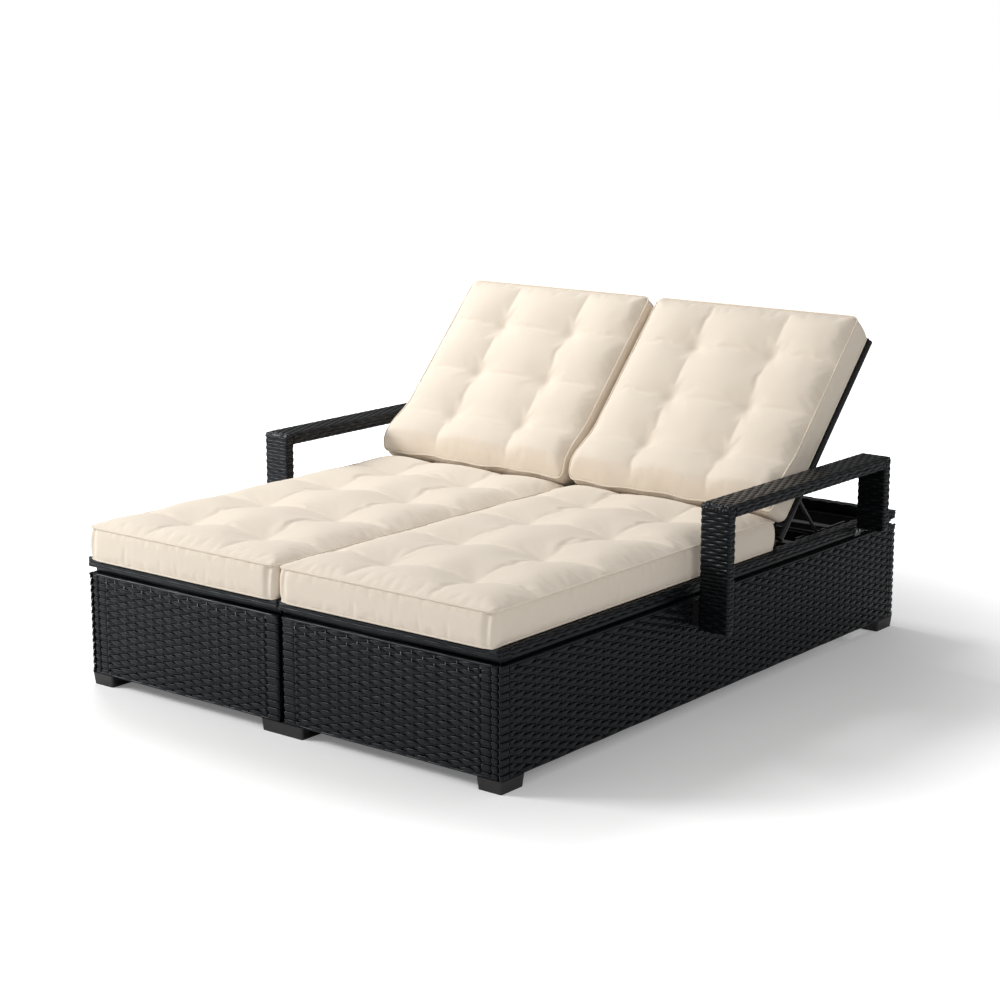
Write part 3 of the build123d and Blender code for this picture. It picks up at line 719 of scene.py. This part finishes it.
# how far the wrapped strands lie in from the CAD rim's outer face, and how far over its underside they start
RIM_INSET = 0.0110
FRONT_RIM_INSET = 0.0080
RIM_FOOT = 0.0085
SIDE_RIM_FOOT = 0.004
END_RIM_ROWS = ((0.0085, 0.0180, "long"), (0.0180, 0.0270, "long"), (0.0270, 0.0370, "long"))
SIDE_RIM_ROWS = ((0.0040, 0.0140, "band"), (0.0140, 0.0240, "weave"), (0.0240, 0.0340, "weave"))
TOP_RIM_ROWS = ((0.0345, 0.0434, "weave"), (0.0434, 0.0537, "weave"), (0.0537, 0.0648, "weave"))
# how far the core lies under the strands
RIM_SHRINK = 0.0046


def rim_rows(work, settings, rows, origin, along, outward, length, height, chance, corner=None):
    """Rows that run along a rim. corner is the length of the stretch round the outer corner, if any."""
    radius = RIM_EDGE
    for row, (low, high, kind) in enumerate(rows + TOP_RIM_ROWS):
        centre = (low + high) / 2
        wraps = corner is not None and centre < height - radius + math.pi / 2 * radius
        total = length
        if wraps:
            total = length - radius + math.pi / 2 * radius + corner - radius

        def place(distance, across, rise, centre=centre, wraps=wraps):
            inward, level, facing = rim_profile(max(centre + across, 0.0), height)
            offset = -inward + facing[0] * rise
            lifted = level + facing[1] * rise
            straight = length - radius
            if not wraps or distance <= straight:
                return origin + along * distance + outward * offset + UP * lifted
            turn = (distance - straight) / radius
            pivot = origin + along * straight - outward * radius
            if turn < math.pi / 2:
                return pivot + (outward * math.cos(turn) + along * math.sin(turn)) * (radius + offset) + UP * lifted
            past = distance - straight - math.pi / 2 * radius
            return pivot + along * (radius + offset) - outward * past + UP * lifted

        width, thickness = high - low, settings.thickness
        if kind == "band":
            width, thickness = width - 0.0006, 0.0022
            shape, steps = (lambda distance: (-0.0012, 1.0)), max(12, round(total / 0.012))
        elif kind == "long":
            shape, steps = long_shape(settings, total, chance), max(12, round(total / 0.008))
        else:
            stakes = round(total / settings.stake_pitch)
            shape, steps = weave_shape(settings, total / stakes, math.pi * row, chance), stakes * 5 + 2
        add_strand(work, place, total, width, thickness, shape, steps, chance)


def build_rim(name, side, label, settings):
    """One rim. The front and the rear one go round the outer corner, and the side one lies between them."""
    node = f"{name}_{label}_rim"
    chance = random.Random(f"{node} strands")
    work = new_work()
    low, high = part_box(node)
    if side > 0:
        high.x -= RIM_INSET
    else:
        low.x += RIM_INSET
    low.y += FRONT_RIM_INSET * (label == "front")
    high.y -= RIM_INSET * (label == "rear")
    inner, outer = (low.x, high.x) if side > 0 else (high.x, low.x)
    size = high - low
    if label == "side":
        end, foot, rows, corner = 0, SIDE_RIM_FOOT, SIDE_RIM_ROWS, None
        origin, along, outward, length = (outer, low.y, low.z), (0, 1, 0), (side, 0, 0), size.y
    else:
        end, face = (-1, low.y) if label == "front" else (1, high.y)
        foot, rows, corner = RIM_FOOT, END_RIM_ROWS, size.y
        origin, along, outward, length = (inner, face, low.z), (side, 0, 0), (0, end, 0), size.x
    origin, along, outward = Vector(origin), Vector(along), Vector(outward)
    rim_rows(work, arm_strands(settings), rows, origin, along, outward, length, size.z, chance, corner)
    add_bar(
        work,
        (low.x + RIM_SHRINK * (side < 0), low.y + RIM_SHRINK * (end < 0), low.z + foot),
        (high.x - RIM_SHRINK * (side > 0), high.y - RIM_SHRINK * (end > 0), high.z - RIM_SHRINK),
    )
    finish_weave(work, node)


class LOUNGER_OT_rims(bpy.types.Operator):
    """Wrap the rims round the top of the base"""

    bl_idname = "lounger.rims"
    bl_label = "Wrapped rims"

    def execute(self, context):
        settings = context.scene.lounger_weave
        for name, side in SIDES.items():
            for label in ("front", "rear", "side"):
                build_rim(name, side, label, settings)
        return {"FINISHED"}


# ---------------------------------------------------------------- arms

# radius of the arm's outer ends, and how far the cores lie under the strands
ARM_ROUND = 0.017
ARM_SHRINK = 0.0042
POST_DEPTH = 0.032
POST_CORNER = 0.005
POST_STAKES = 10
RAIL_CORNER = 0.006
RAIL_ROWS = 24


def arm_round(near):
    """How far the arm's rounded end falls back at a distance from its outermost point."""
    if near >= ARM_ROUND:
        return 0.0
    return ARM_ROUND - math.sqrt(ARM_ROUND ** 2 - (ARM_ROUND - max(near, 0.0)) ** 2)


def build_post(name, label, settings, top):
    """A woven post: rows that go round it, each over and under its stakes."""
    node = f"{name}_arm_{label}_post"
    low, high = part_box(node)
    chance = random.Random(f"{node} strands")
    work = new_work()
    centre = (low + high) / 2
    settings = arm_strands(settings)
    loop = RoundedLoop(high.x - low.x, high.y - low.y, POST_CORNER)
    rows = round((top - low.z) / settings.row_pitch)
    pitch = (top - low.z) / rows
    for row in range(rows):
        level = low.z + (row + 0.5) * pitch + chance.uniform(-ROW_JITTER, ROW_JITTER)
        shape = weave_shape(settings, loop.length / POST_STAKES, math.pi * row, chance)

        def place(distance, across, rise):
            point, facing = loop.at(distance)
            y = centre.y + point.y + facing.y * rise
            back = arm_round(top + 0.003 - level - across)
            y = max(y, low.y + back + rise) if label == "front" else min(y, high.y - back - rise)
            return Vector((centre.x + point.x + facing.x * rise, y, level + across))
        add_strand(work, place, loop.length, pitch, settings.thickness, shape, 60, chance, closed=True)
    add_bar(
        work,
        (low.x + ARM_SHRINK, low.y + ARM_SHRINK, low.z + 0.0004),
        (high.x - ARM_SHRINK, high.y - ARM_SHRINK, top - 0.014),
    )
    finish_weave(work, node)


def build_rail(name, settings):
    """The woven arm rail: rows that run along it, the upper ones over the posts' tops."""
    node = f"{name}_arm_rail"
    low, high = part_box(node)
    chance = random.Random(f"{node} strands")
    work = new_work()
    settings = arm_strands(settings)
    centre = (low + high) / 2
    loop = RoundedLoop(high.x - low.x, high.z - low.z, RAIL_CORNER)
    pitch = loop.length / RAIL_ROWS
    for row in range(RAIL_ROWS):
        where = (row + 0.5) * pitch
        over_posts = centre.z + loop.at(where)[0].y > high.z - 0.004
        clear = 0.0 if over_posts else POST_DEPTH
        start = low.y + clear
        end = high.y - clear
        length = end - start
        stakes = round(length / settings.stake_pitch)
        wave = weave_shape(settings, length / stakes, math.pi * row, chance)

        def place(distance, across, rise, where=where, start=start, length=length, over_posts=over_posts):
            point, facing = loop.at(where + across)
            z = centre.z + point.y + facing.y * rise
            if over_posts:
                z = min(z, high.z + rise - arm_round(min(distance, length - distance) + 0.0005))
            return Vector((centre.x + point.x + facing.x * rise, start + distance, z))
        add_strand(work, place, length, pitch, settings.thickness, wave, stakes * 5 + 2, chance)
    add_bar(
        work,
        (low.x + ARM_SHRINK, low.y + 0.013, low.z + ARM_SHRINK),
        (high.x - ARM_SHRINK, high.y - 0.013, high.z - ARM_SHRINK),
    )
    finish_weave(work, node)


class LOUNGER_OT_arms(bpy.types.Operator):
    """Weave the arm rails and their posts"""

    bl_idname = "lounger.arms"
    bl_label = "Woven arms"

    def execute(self, context):
        settings = context.scene.lounger_weave
        for name in SIDES:
            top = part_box(f"{name}_arm_rail")[1].z - 0.003
            for label in ("front", "rear"):
                build_post(name, label, settings, top)
            build_rail(name, settings)
        return {"FINISHED"}


# ---------------------------------------------------------------- backrest decks

# where the deck starts and ends along the backrest, and how far it stands off the hinge's plane
DECK_START = 0.036
DECK_END = 0.690
DECK_FACE = 0.0366


def back_point(x, along, out):
    """A point of a backrest at rest."""
    return Vector((x, PIVOT.y, PIVOT.z)) + ALONG_BACK * along + OUT_OF_BACK * out


def build_back_deck(name, settings):
    """The woven deck of a backrest, seen from behind."""
    node = f"{name}_back_deck"
    low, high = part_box(node)
    chance = random.Random(f"{node} strands")
    work = new_work()
    width = high.x - low.x
    weave_face(
        work, panel_strands(settings)._replace(row_pitch=0.0115), back_point(low.x, DECK_START, DECK_FACE - 0.0002),
        Vector((1, 0, 0)), ALONG_BACK, width, DECK_END - DECK_START, bordered(width, 0.024), chance, drop=0.001,
    )
    finish_weave(work, node, f"{name}_backrest")


class LOUNGER_OT_back_decks(bpy.types.Operator):
    """Weave the decks of the backrests"""

    bl_idname = "lounger.back_decks"
    bl_label = "Backrest decks"

    def execute(self, context):
        for name in SIDES:
            build_back_deck(name, context.scene.lounger_weave)
        return {"FINISHED"}


# ---------------------------------------------------------------- cushions

CLOTH_STEP = 0.008
FILL_FRAMES = 20
# levels of the boxing's rings, as shares of its height
BOXING_SHARES = (0.965, 0.87, 0.75, 0.62, 0.49, 0.36, 0.24, 0.12, 0.03, 0.0)
SEAM_INSET = 0.006
UNDERSIDE_INSET = 0.018
PIPING_STEP = 0.007
BACK_LENGTH = 0.640
# where the tufts sit, as shares of the width and of the length
SEAT_TUFTS = (0.305, 0.695), (0.150, 0.373, 0.606, 0.818)
BACK_TUFTS = (0.31, 0.69), (0.205, 0.464, 0.738)


def limit(value, low=0.0, high=1.0):
    return min(max(value, low), high)


def bell(value, width):
    """A hump of height 1 round zero."""
    return math.exp(-((value / width) ** 2))


def cell_of(value, stops):
    """The cell that a value lies in, and how far through it, from 0 to 1."""
    last = len(stops) - 2
    place = next((cell for cell in range(last) if value <= stops[cell + 1]), last)
    return place, limit((value - stops[place]) / (stops[place + 1] - stops[place]))


class CushionForm:
    """The form of one boxed cushion, in its own plane: x across, y along and z out of it."""

    def __init__(self, settings, width, length, columns, rows, seed, plump):
        self.settings = settings
        self.plump = plump
        self.width, self.length = width, length
        self.columns = [0.0, *(width * share for share in columns), width]
        self.rows = [0.0, *(length * share for share in rows), length]
        self.radius = settings.corner
        chance = random.Random(seed)
        self.seed = Vector([chance.uniform(0, 90) for _ in range(3)])
        self.tufts = [Vector((x, y)) for x in self.columns[1:-1] for y in self.rows[1:-1]]
        self.rise = [[chance.uniform(0.94, 1.06) for _ in self.rows[1:]] for _ in self.columns[1:]]

    def core(self, x, y):
        """Nearest point of the inner rectangle whose offset by the corner radius is the outline."""
        r = self.radius
        return limit(x, r, self.width - r), limit(y, r, self.length - r)

    def outline(self, x, y, inset):
        """The outline point seen from x, y, drawn in by inset, and its outward direction."""
        cx, cy = self.core(x, y)
        outward = Vector((x - cx, y - cy))
        outward.normalize()
        reach = self.radius - inset
        return Vector((cx + outward.x * reach, cy + outward.y * reach)), outward

    def plan(self, x_share, y_share):
        """Maps the unit square on the area inside the top seam, with round corners."""
        width, length = self.width - 2 * SEAM_INSET, self.length - 2 * SEAM_INSET
        x, y = x_share * width, y_share * length
        r = self.radius - SEAM_INSET
        a = max(r - x, x - (width - r), 0.0) / r
        b = max(r - y, y - (length - r), 0.0) / r
        if a > 0 and b > 0:
            ca = r if x < width / 2 else width - r
            cb = r if y < length / 2 else length - r
            sx = -1 if x < width / 2 else 1
            sy = -1 if y < length / 2 else 1
            x = ca + sx * r * a * math.sqrt(1 - b * b / 2)
            y = cb + sy * r * b * math.sqrt(1 - a * a / 2)
        return x + SEAM_INSET, y + SEAM_INSET

    def start_top(self, x, y):
        """Height of the top over the seam before it is filled."""
        settings = self.settings
        column, u = cell_of(x, self.columns)
        row, v = cell_of(y, self.rows)
        outer_u = (column == 0 and u < 0.5) or (column == len(self.columns) - 2 and u > 0.5)
        outer_v = (row == 0 and v < 0.5) or (row == len(self.rows) - 2 and v > 0.5)
        fu = max(math.sin(math.pi * u), 0.75 if outer_u else 0.0)
        fv = max(math.sin(math.pi * v), 0.75 if outer_v else 0.0)
        pillow = 0.45 * (fu + fv) / 2 + 0.55 * fu * fv
        edge = max(min(x, y, self.width - x, self.length - y) - SEAM_INSET, 0.0)
        height = settings.pillow_rise * self.plump * self.rise[column][row] * (0.30 + 0.70 * pillow)
        near = min((Vector((x, y)) - tuft).length for tuft in self.tufts)
        height += (settings.tuft_level * self.plump - height) * bell(near, 0.022)
        slow = noise.noise(Vector((x * 12, y * 12, 0)) + self.seed)
        fine = noise.noise(Vector((x * 38, y * 38, 5)) + self.seed)
        height += (0.0012 * slow + 0.0007 * fine) * min(1.0, near / 0.03)
        return height * (1 - math.exp(-edge / 0.015))

    def side_inset(self, share):
        """How far the boxing is drawn in at a share of its height."""
        return 0.0085 * (1 - math.sin(math.pi * limit(share)) ** 0.45)

    def side_wrinkle(self, point, share):
        """Shallow upright waves of the boxing, and the gather at its corners."""
        wave = noise.noise(Vector((point.x * 16, point.y * 16, share * 0.8)) + self.seed)
        fine = noise.noise(Vector((point.x * 55, point.y * 55, share * 2.0)) + self.seed)
        middle = math.sin(math.pi * limit(share))
        offset = 0.0016 * wave * middle + 0.0006 * fine * (1.0 - 0.5 * middle)
        cx, cy = self.core(point.x, point.y)
        off_x, off_y = abs(point.x - cx), abs(point.y - cy)
        if off_x > 1e-6 and off_y > 1e-6:
            angle = math.atan2(off_y, off_x)
            offset -= 0.0045 * bell(angle - math.radians(50), 0.20) * (0.35 + 0.65 * share)
        return offset


def fill_cloth(work, sewn, form):
    """Fills a cushion with pressure while its seams and tufts hold, and gives back its finer mesh."""
    settings = form.settings
    scene = bpy.context.scene
    mesh = bpy.data.meshes.new("cloth being filled")
    work.to_mesh(mesh)
    piece = bpy.data.objects.new("cloth being filled", mesh)
    scene.collection.objects.link(piece)
    before = [vert.co.copy() for vert in mesh.vertices]
    held = piece.vertex_groups.new(name="sewn")
    held.add(sewn, 1.0, "REPLACE")
    cloth = piece.modifiers.new("cloth", "CLOTH")
    for key, value in {
        "quality": 6, "mass": settings.cloth_mass, "tension_stiffness": 15.0, "compression_stiffness": 8.0,
        "shear_stiffness": 4.0, "bending_stiffness": settings.bending, "use_pressure": True,
        "uniform_pressure_force": settings.pressure, "shrink_min": -settings.spare_cloth,
        "vertex_group_mass": "sewn",
    }.items():
        setattr(cloth.settings, key, value)
    cloth.settings.effector_weights.gravity = 0.0
    cloth.collision_settings.use_collision = False
    cloth.collision_settings.use_self_collision = False
    cloth.point_cache.frame_start = 1
    cloth.point_cache.frame_end = FILL_FRAMES
    for number in range(1, FILL_FRAMES + 1):
        scene.frame_set(number)
    graph = bpy.context.evaluated_depsgraph_get()
    filled = piece.evaluated_get(graph).to_mesh()
    after = [vert.co.copy() for vert in filled.vertices]
    piece.modifiers.remove(cloth)
    scene.frame_set(1)
    for vert, start, end in zip(mesh.vertices, before, after):
        move = end - start
        if move.length > settings.fill_cap:
            move *= settings.fill_cap / move.length
        co = start + move
        co.x = limit(co.x, 0.0002, form.width - 0.0002)
        co.y = limit(co.y, 0.0002, form.length - 0.0002)
        vert.co = co
    mesh.update()
    finer = piece.modifiers.new("finer", "SUBSURF")
    finer.levels = finer.render_levels = 1
    graph = bpy.context.evaluated_depsgraph_get()
    result = bmesh.new()
    result.from_mesh(piece.evaluated_get(graph).to_mesh())
    bpy.data.objects.remove(piece)
    bpy.data.meshes.remove(mesh)
    return result


def smooth_step(value):
    """Goes from 0 to 1 as the value does, level at both ends."""
    value = limit(value)
    return value * value * (3 - 2 * value)


def seat_rest(point, form):
    """A seat cushion's rear end, pressed down under the backrest's cushion."""
    share = limit(point.z / form.settings.seam_height)
    sink = 0.009 * bell(form.length - point.y, 0.042) * share
    front = bell(point.y, 0.020)
    hang = 0.0045 * front * (1 - share)
    corner = min(point.x, form.width - point.x)
    gather = bell(corner - 0.025, 0.0095) * (1 - smooth_step((point.y - 0.006) / 0.02))
    gather *= (0.45 + 0.55 * share) * (1 - smooth_step((share - 0.90) / 0.10))
    return Vector((point.x, point.y + 0.0095 * gather - 0.004 * front * (1 - share), point.z - sink - hang))


def back_rest(point, form):
    """A back cushion's lower end, slumped forward and outward on the seat."""
    share = smooth_step(point.z / form.settings.seam_height)
    rolled = smooth_step((point.y - 0.004) / 0.045) * (1 - smooth_step((point.y - 0.055) / 0.13))
    lifted = 0.021 * rolled - 0.005 * (1 - smooth_step(point.y / 0.03))
    across = (point.x / form.width - 0.5) * 2
    low = (1 - smooth_step(point.y / 0.16)) * share
    wave = 0.0025 * math.sin(point.x * 21.0 + form.seed.x) + 0.0018 * math.sin(point.x * 47.0 + form.seed.y)
    drop = (0.012 + wave) * share * bell(point.y, 0.05)
    return Vector((point.x + 0.007 * across * low, point.y - drop, point.z + lifted * share))


def extrude_ring(work, boundary):
    """Extrudes the open edges, and gives the new points and the new open edges."""
    made = bmesh.ops.extrude_edge_only(work, edges=boundary)["geom"]
    verts = [item for item in made if isinstance(item, bmesh.types.BMVert)]
    return verts, [item for item in made if isinstance(item, bmesh.types.BMEdge) and item.is_boundary]


def build_cushion(node, body, origin, along, form, rest):
    """A boxed cushion with pillows between its tufts, drawn-in seams and piping."""
    settings = form.settings
    across = Vector((1, 0, 0))
    outward = across.cross(along)
    nx, ny = round(form.width / CLOTH_STEP), round(form.length / CLOTH_STEP)
    work = bmesh.new()
    made = bmesh.ops.create_grid(work, x_segments=nx, y_segments=ny, size=0.5)
    seam = settings.seam_height
    for vert in made["verts"]:
        x, y = form.plan(vert.co.x + 0.5, vert.co.y + 0.5)
        vert.co = Vector((x, y, seam + form.start_top(x, y)))
    boundary = [edge for edge in work.edges if edge.is_boundary]
    sewn = {vert for edge in boundary for vert in edge.verts}
    for tuft in form.tufts:
        nearest = min(made["verts"], key=lambda vert: (vert.co.xy - tuft).length)
        sewn.update([nearest, *(edge.other_vert(nearest) for edge in nearest.link_edges)])
    for share in BOXING_SHARES:
        verts, boundary = extrude_ring(work, boundary)
        for vert in verts:
            point, facing = form.outline(vert.co.x, vert.co.y, form.side_inset(share))
            offset = form.side_wrinkle(point, share)
            vert.co = Vector((point.x + facing.x * offset, point.y + facing.y * offset, seam * share))
    sewn.update(verts)
    verts, boundary = extrude_ring(work, boundary)
    for vert in verts:
        point, _ = form.outline(vert.co.x, vert.co.y, UNDERSIDE_INSET)
        vert.co = Vector((point.x, point.y, 0.0))
    sewn.update(verts)
    work.verts.index_update()
    finer = fill_cloth(work, [vert.index for vert in sewn], form)
    work.free()
    work = finer
    for vert in work.verts:
        vert.co = rest(vert.co, form)
    uv = work.loops.layers.uv.new("cloth")
    bmesh.ops.holes_fill(work, edges=[edge for edge in work.edges if edge.is_boundary], sides=0)
    bmesh.ops.recalc_face_normals(work, faces=work.faces[:])
    for face in work.faces:
        normal = face.normal
        for loop in face.loops:
            co = loop.vert.co
            if abs(normal.z) > 0.6:
                loop[uv].uv = (co.x, co.y)
            elif abs(normal.x) > abs(normal.y):
                loop[uv].uv = (co.y, co.z)
            else:
                loop[uv].uv = (co.x, co.z)
    add_piping(work, uv, form, seam - 0.0004, SEAM_INSET - 0.0019, rest)
    add_piping(work, uv, form, 0.0026, form.side_inset(0.0) - 0.0018, rest)
    work.transform(Matrix.Translation(origin) @ Matrix((across, along, outward)).transposed().to_4x4())
    piece = link_piece(work, f"{node}_cloth", body, node, CLOTH)


def add_piping(work, uv, form, level, inset, rest):
    """A cord all round the cushion, in one of its seams."""
    count = round((form.width + form.length) * 2 / PIPING_STEP)
    made = bmesh.ops.create_grid(work, x_segments=count, y_segments=6, size=0.5)
    loop = RoundedLoop(form.width - 2 * inset, form.length - 2 * inset, form.radius - inset)
    for vert in made["verts"]:
        distance = round((vert.co.x + 0.5) * count) / count * loop.length
        turn = (vert.co.y + 0.5) * 2 * math.pi
        point, facing = loop.at(distance)
        bulge = form.settings.piping * (1 + 0.05 * math.sin(distance * 310))
        reach = math.cos(turn) * bulge
        x = form.width / 2 + point.x + facing.x * reach
        y = form.length / 2 + point.y + facing.y * reach
        vert.co = rest(Vector((x, y, level + math.sin(turn) * bulge)), form)
    faces = {face for vert in made["verts"] for face in vert.link_faces}
    for face in faces:
        for corner in face.loops:
            corner[uv].uv = (corner.vert.co.x + corner.vert.co.y, corner.vert.co.z)
    bmesh.ops.remove_doubles(work, verts=made["verts"], dist=1e-6)


class LOUNGER_OT_seat_cushions(bpy.types.Operator):
    """Make the two long seat cushions"""

    bl_idname = "lounger.seat_cushions"
    bl_label = "Seat cushions"

    def execute(self, context):
        settings = context.scene.lounger_cushion
        for name in SIDES:
            node = f"{name}_seat_cushion"
            low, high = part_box(node)
            form = CushionForm(settings, high.x - low.x, high.y - low.y, *SEAT_TUFTS, f"{name} seat", 1.0)
            build_cushion(node, "base", low, Vector((0, 1, 0)), form, seat_rest)
        return {"FINISHED"}


class LOUNGER_OT_back_cushions(bpy.types.Operator):
    """Make the two back cushions"""

    bl_idname = "lounger.back_cushions"
    bl_label = "Back cushions"

    def execute(self, context):
        settings = context.scene.lounger_cushion
        for name in SIDES:
            node = f"{name}_back_cushion"
            low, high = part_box(node)
            form = CushionForm(settings, high.x - low.x, BACK_LENGTH, *BACK_TUFTS, f"{name} back", 1.7)
            build_cushion(node, f"{name}_backrest", back_point(low.x, 0.064, 0.0369), ALONG_BACK, form, back_rest)
        return {"FINISHED"}


# ---------------------------------------------------------------- steel, fasteners, feet

STEEL_NODES = (
    "base_frame", "arm_spacer", "arm_rear_bracket", "hinge_brackets", "notched_racks",
    "back_outer_tube", "back_inner_tube", "back_cross_tubes", "prop_stay",
)
BRIGHT_NODES = ("arm_bolts", "arm_screws", "hinge_pins", "stay_pins")
FEET = [f"{end}_{place}_foot" for end in ("front", "rear") for place in ("centre", "left", "right")]


def dress(node, material):
    """Gives a CAD node that stays a material."""
    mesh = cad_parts[node].data
    mesh.materials.clear()
    mesh.materials.append(bpy.data.materials[material])


class LOUNGER_OT_hardware(bpy.types.Operator):
    """Finish the steel frame, the fasteners and the feet"""

    bl_idname = "lounger.hardware"
    bl_label = "Steel and feet"

    def execute(self, context):
        for name in SIDES:
            for label in STEEL_NODES:
                dress(f"{name}_{label}", COAT)
            for label in BRIGHT_NODES:
                dress(f"{name}_{label}", ZINC)
            dress(f"{name}_seat_deck", DECK)
        dress("seam_bolts", ZINC)
        for foot in FEET:
            dress(foot, FOOT)
        return {"FINISHED"}


# ---------------------------------------------------------------- stage

def add_area(name, place, target, size, power):
    """A soft rectangular lamp that faces a point."""
    lamp = bpy.data.lights.new(name, "AREA")
    lamp.shape = "RECTANGLE"
    lamp.size, lamp.size_y = size
    lamp.energy = power
    thing = bpy.data.objects.new(name, lamp)
    thing.location = place
    thing.rotation_euler = (Vector(target) - Vector(place)).to_track_quat("-Z", "Y").to_euler()
    bpy.context.scene.collection.objects.link(thing)


def seen_directly(tree):
    """1 for rays from the camera, straight or through glass, and the Light Path node itself."""
    path = add_node(tree, "LightPath").outputs
    return add_math(tree, "MAXIMUM", path["Is Camera Ray"], path["Is Transmission Ray"]), path


def floor_material(settings):
    """A pale floor that keeps the object's shadow, and glows white to the camera away from it."""
    tree, shader = start_material(FLOOR)
    tree.nodes.remove(shader)
    output = next(node for node in tree.nodes if node.type == "OUTPUT_MATERIAL")
    matte = set_inputs(add_node(tree, "BsdfDiffuse"), Color=(*settings.floor, 1))
    glow = set_inputs(add_node(tree, "Emission"), Color=(1, 1, 1, 1))
    away = add_node(tree, "VectorMath", operation="LENGTH")
    tree.links.new(add_node(tree, "TexCoord").outputs["Object"], away.inputs[0])
    spread = add_node(tree, "MapRange", interpolation_type="SMOOTHSTEP")
    set_inputs(spread, From_Min=1.0, From_Max=2.4, To_Min=0.15, To_Max=1.0)
    tree.links.new(away.outputs["Value"], spread.inputs["Value"])
    strength = add_math(tree, "MULTIPLY", seen_directly(tree)[0], spread.outputs["Result"])
    tree.links.new(strength, glow.inputs["Strength"])
    both = add_node(tree, "AddShader")
    tree.links.new(matte.outputs[0], both.inputs[0])
    tree.links.new(glow.outputs[0], both.inputs[1])
    tree.links.new(both.outputs[0], output.inputs["Surface"])


class LOUNGER_OT_stage(bpy.types.Operator):
    """Set up the floor, the lamps, the surroundings and the camera"""

    bl_idname = "lounger.stage"
    bl_label = "Stage"

    def execute(self, context):
        scene = context.scene
        settings = scene.lounger_stage
        work = bmesh.new()
        bmesh.ops.create_grid(work, x_segments=4, y_segments=4, size=30.0)
        mesh = bpy.data.meshes.new("floor")
        work.to_mesh(mesh)
        work.free()
        floor = bpy.data.objects.new("floor", mesh)
        scene.collection.objects.link(floor)
        floor_material(settings)
        mesh.materials.append(bpy.data.materials[FLOOR])

        world = bpy.data.worlds.new("Studio")
        scene.world = world
        world.use_nodes = True
        tree = world.node_tree
        back = next(node for node in tree.nodes if node.type == "BACKGROUND")
        set_inputs(back, Color=(1, 1, 1, 1))
        seen, path = seen_directly(tree)
        mirrored = add_math(tree, "MULTIPLY", path["Is Glossy Ray"], settings.shine - settings.fill)
        around = add_math(tree, "ADD", mirrored, settings.fill)
        level = add_node(tree, "Mix", data_type="FLOAT")
        tree.links.new(seen, level.inputs[0])
        tree.links.new(around, level.inputs[2])
        level.inputs[3].default_value = 1.0
        tree.links.new(level.outputs[0], back.inputs["Strength"])

        add_area("key", (-3.9, -3.3, 2.9), (0, 0, 0.3), (1.8, 1.5), settings.key)
        add_area("overhead", (-2.4, 0.8, 3.4), (0, 0, 0.3), (1.4, 1.4), settings.overhead)
        add_area("side", (4.2, -1.6, 2.2), (0, 0, 0.3), (2.4, 2.4), settings.side)

        camera = bpy.data.cameras.new("camera")
        camera.sensor_width = 36.0
        camera.lens = 79.12
        camera.clip_end = 100.0
        eye = bpy.data.objects.new("camera", camera)
        eye.location = (3.6775, -4.6604, 1.7579)
        target = Vector((-0.03785, 0.0, 0.43547))
        eye.rotation_euler = (target - eye.location).to_track_quat("-Z", "Y").to_euler()
        scene.collection.objects.link(eye)
        scene.camera = eye
        scene.view_settings.view_transform = "Standard"
        return {"FINISHED"}


class LOUNGER_PT_panel(bpy.types.Panel):
    """The lounger's pieces"""

    bl_idname = "LOUNGER_PT_panel"
    bl_label = "Double chaise lounger"
    bl_space_type = "VIEW_3D"
    bl_region_type = "UI"
    bl_category = "Lounger"

    def draw(self, context):
        for name in GROUPS:
            settings = getattr(context.scene, name)
            for label in settings.bl_rna.properties.keys():
                if label not in ("rna_type", "name"):
                    self.layout.prop(settings, label)
        for operator in OPERATORS:
            self.layout.operator(operator.bl_idname)


GROUPS = {
    "lounger_weave": LoungerWeave,
    "lounger_cushion": LoungerCushion,
    "lounger_metal": LoungerMetal,
    "lounger_stage": LoungerStage,
}
OPERATORS = (
    LOUNGER_OT_stage, LOUNGER_OT_hardware, LOUNGER_OT_panels, LOUNGER_OT_rims,
    LOUNGER_OT_arms, LOUNGER_OT_back_decks, LOUNGER_OT_seat_cushions, LOUNGER_OT_back_cushions,
)
CLASSES = (*GROUPS.values(), *OPERATORS, LOUNGER_PT_panel)


def register():
    for item in CLASSES:
        bpy.utils.register_class(item)
    for name, group in GROUPS.items():
        setattr(bpy.types.Scene, name, PointerProperty(type=group))


def unregister():
    for name in GROUPS:
        delattr(bpy.types.Scene, name)
    for item in reversed(CLASSES):
        bpy.utils.unregister_class(item)


def main():
    register()
    make_materials(bpy.context.scene)
    bpy.ops.lounger.stage()
    bpy.ops.lounger.hardware()
    bpy.ops.lounger.panels()
    bpy.ops.lounger.rims()
    bpy.ops.lounger.arms()
    bpy.ops.lounger.back_decks()
    bpy.ops.lounger.seat_cushions()
    bpy.ops.lounger.back_cushions()


if __name__ == "__main__":
    main()
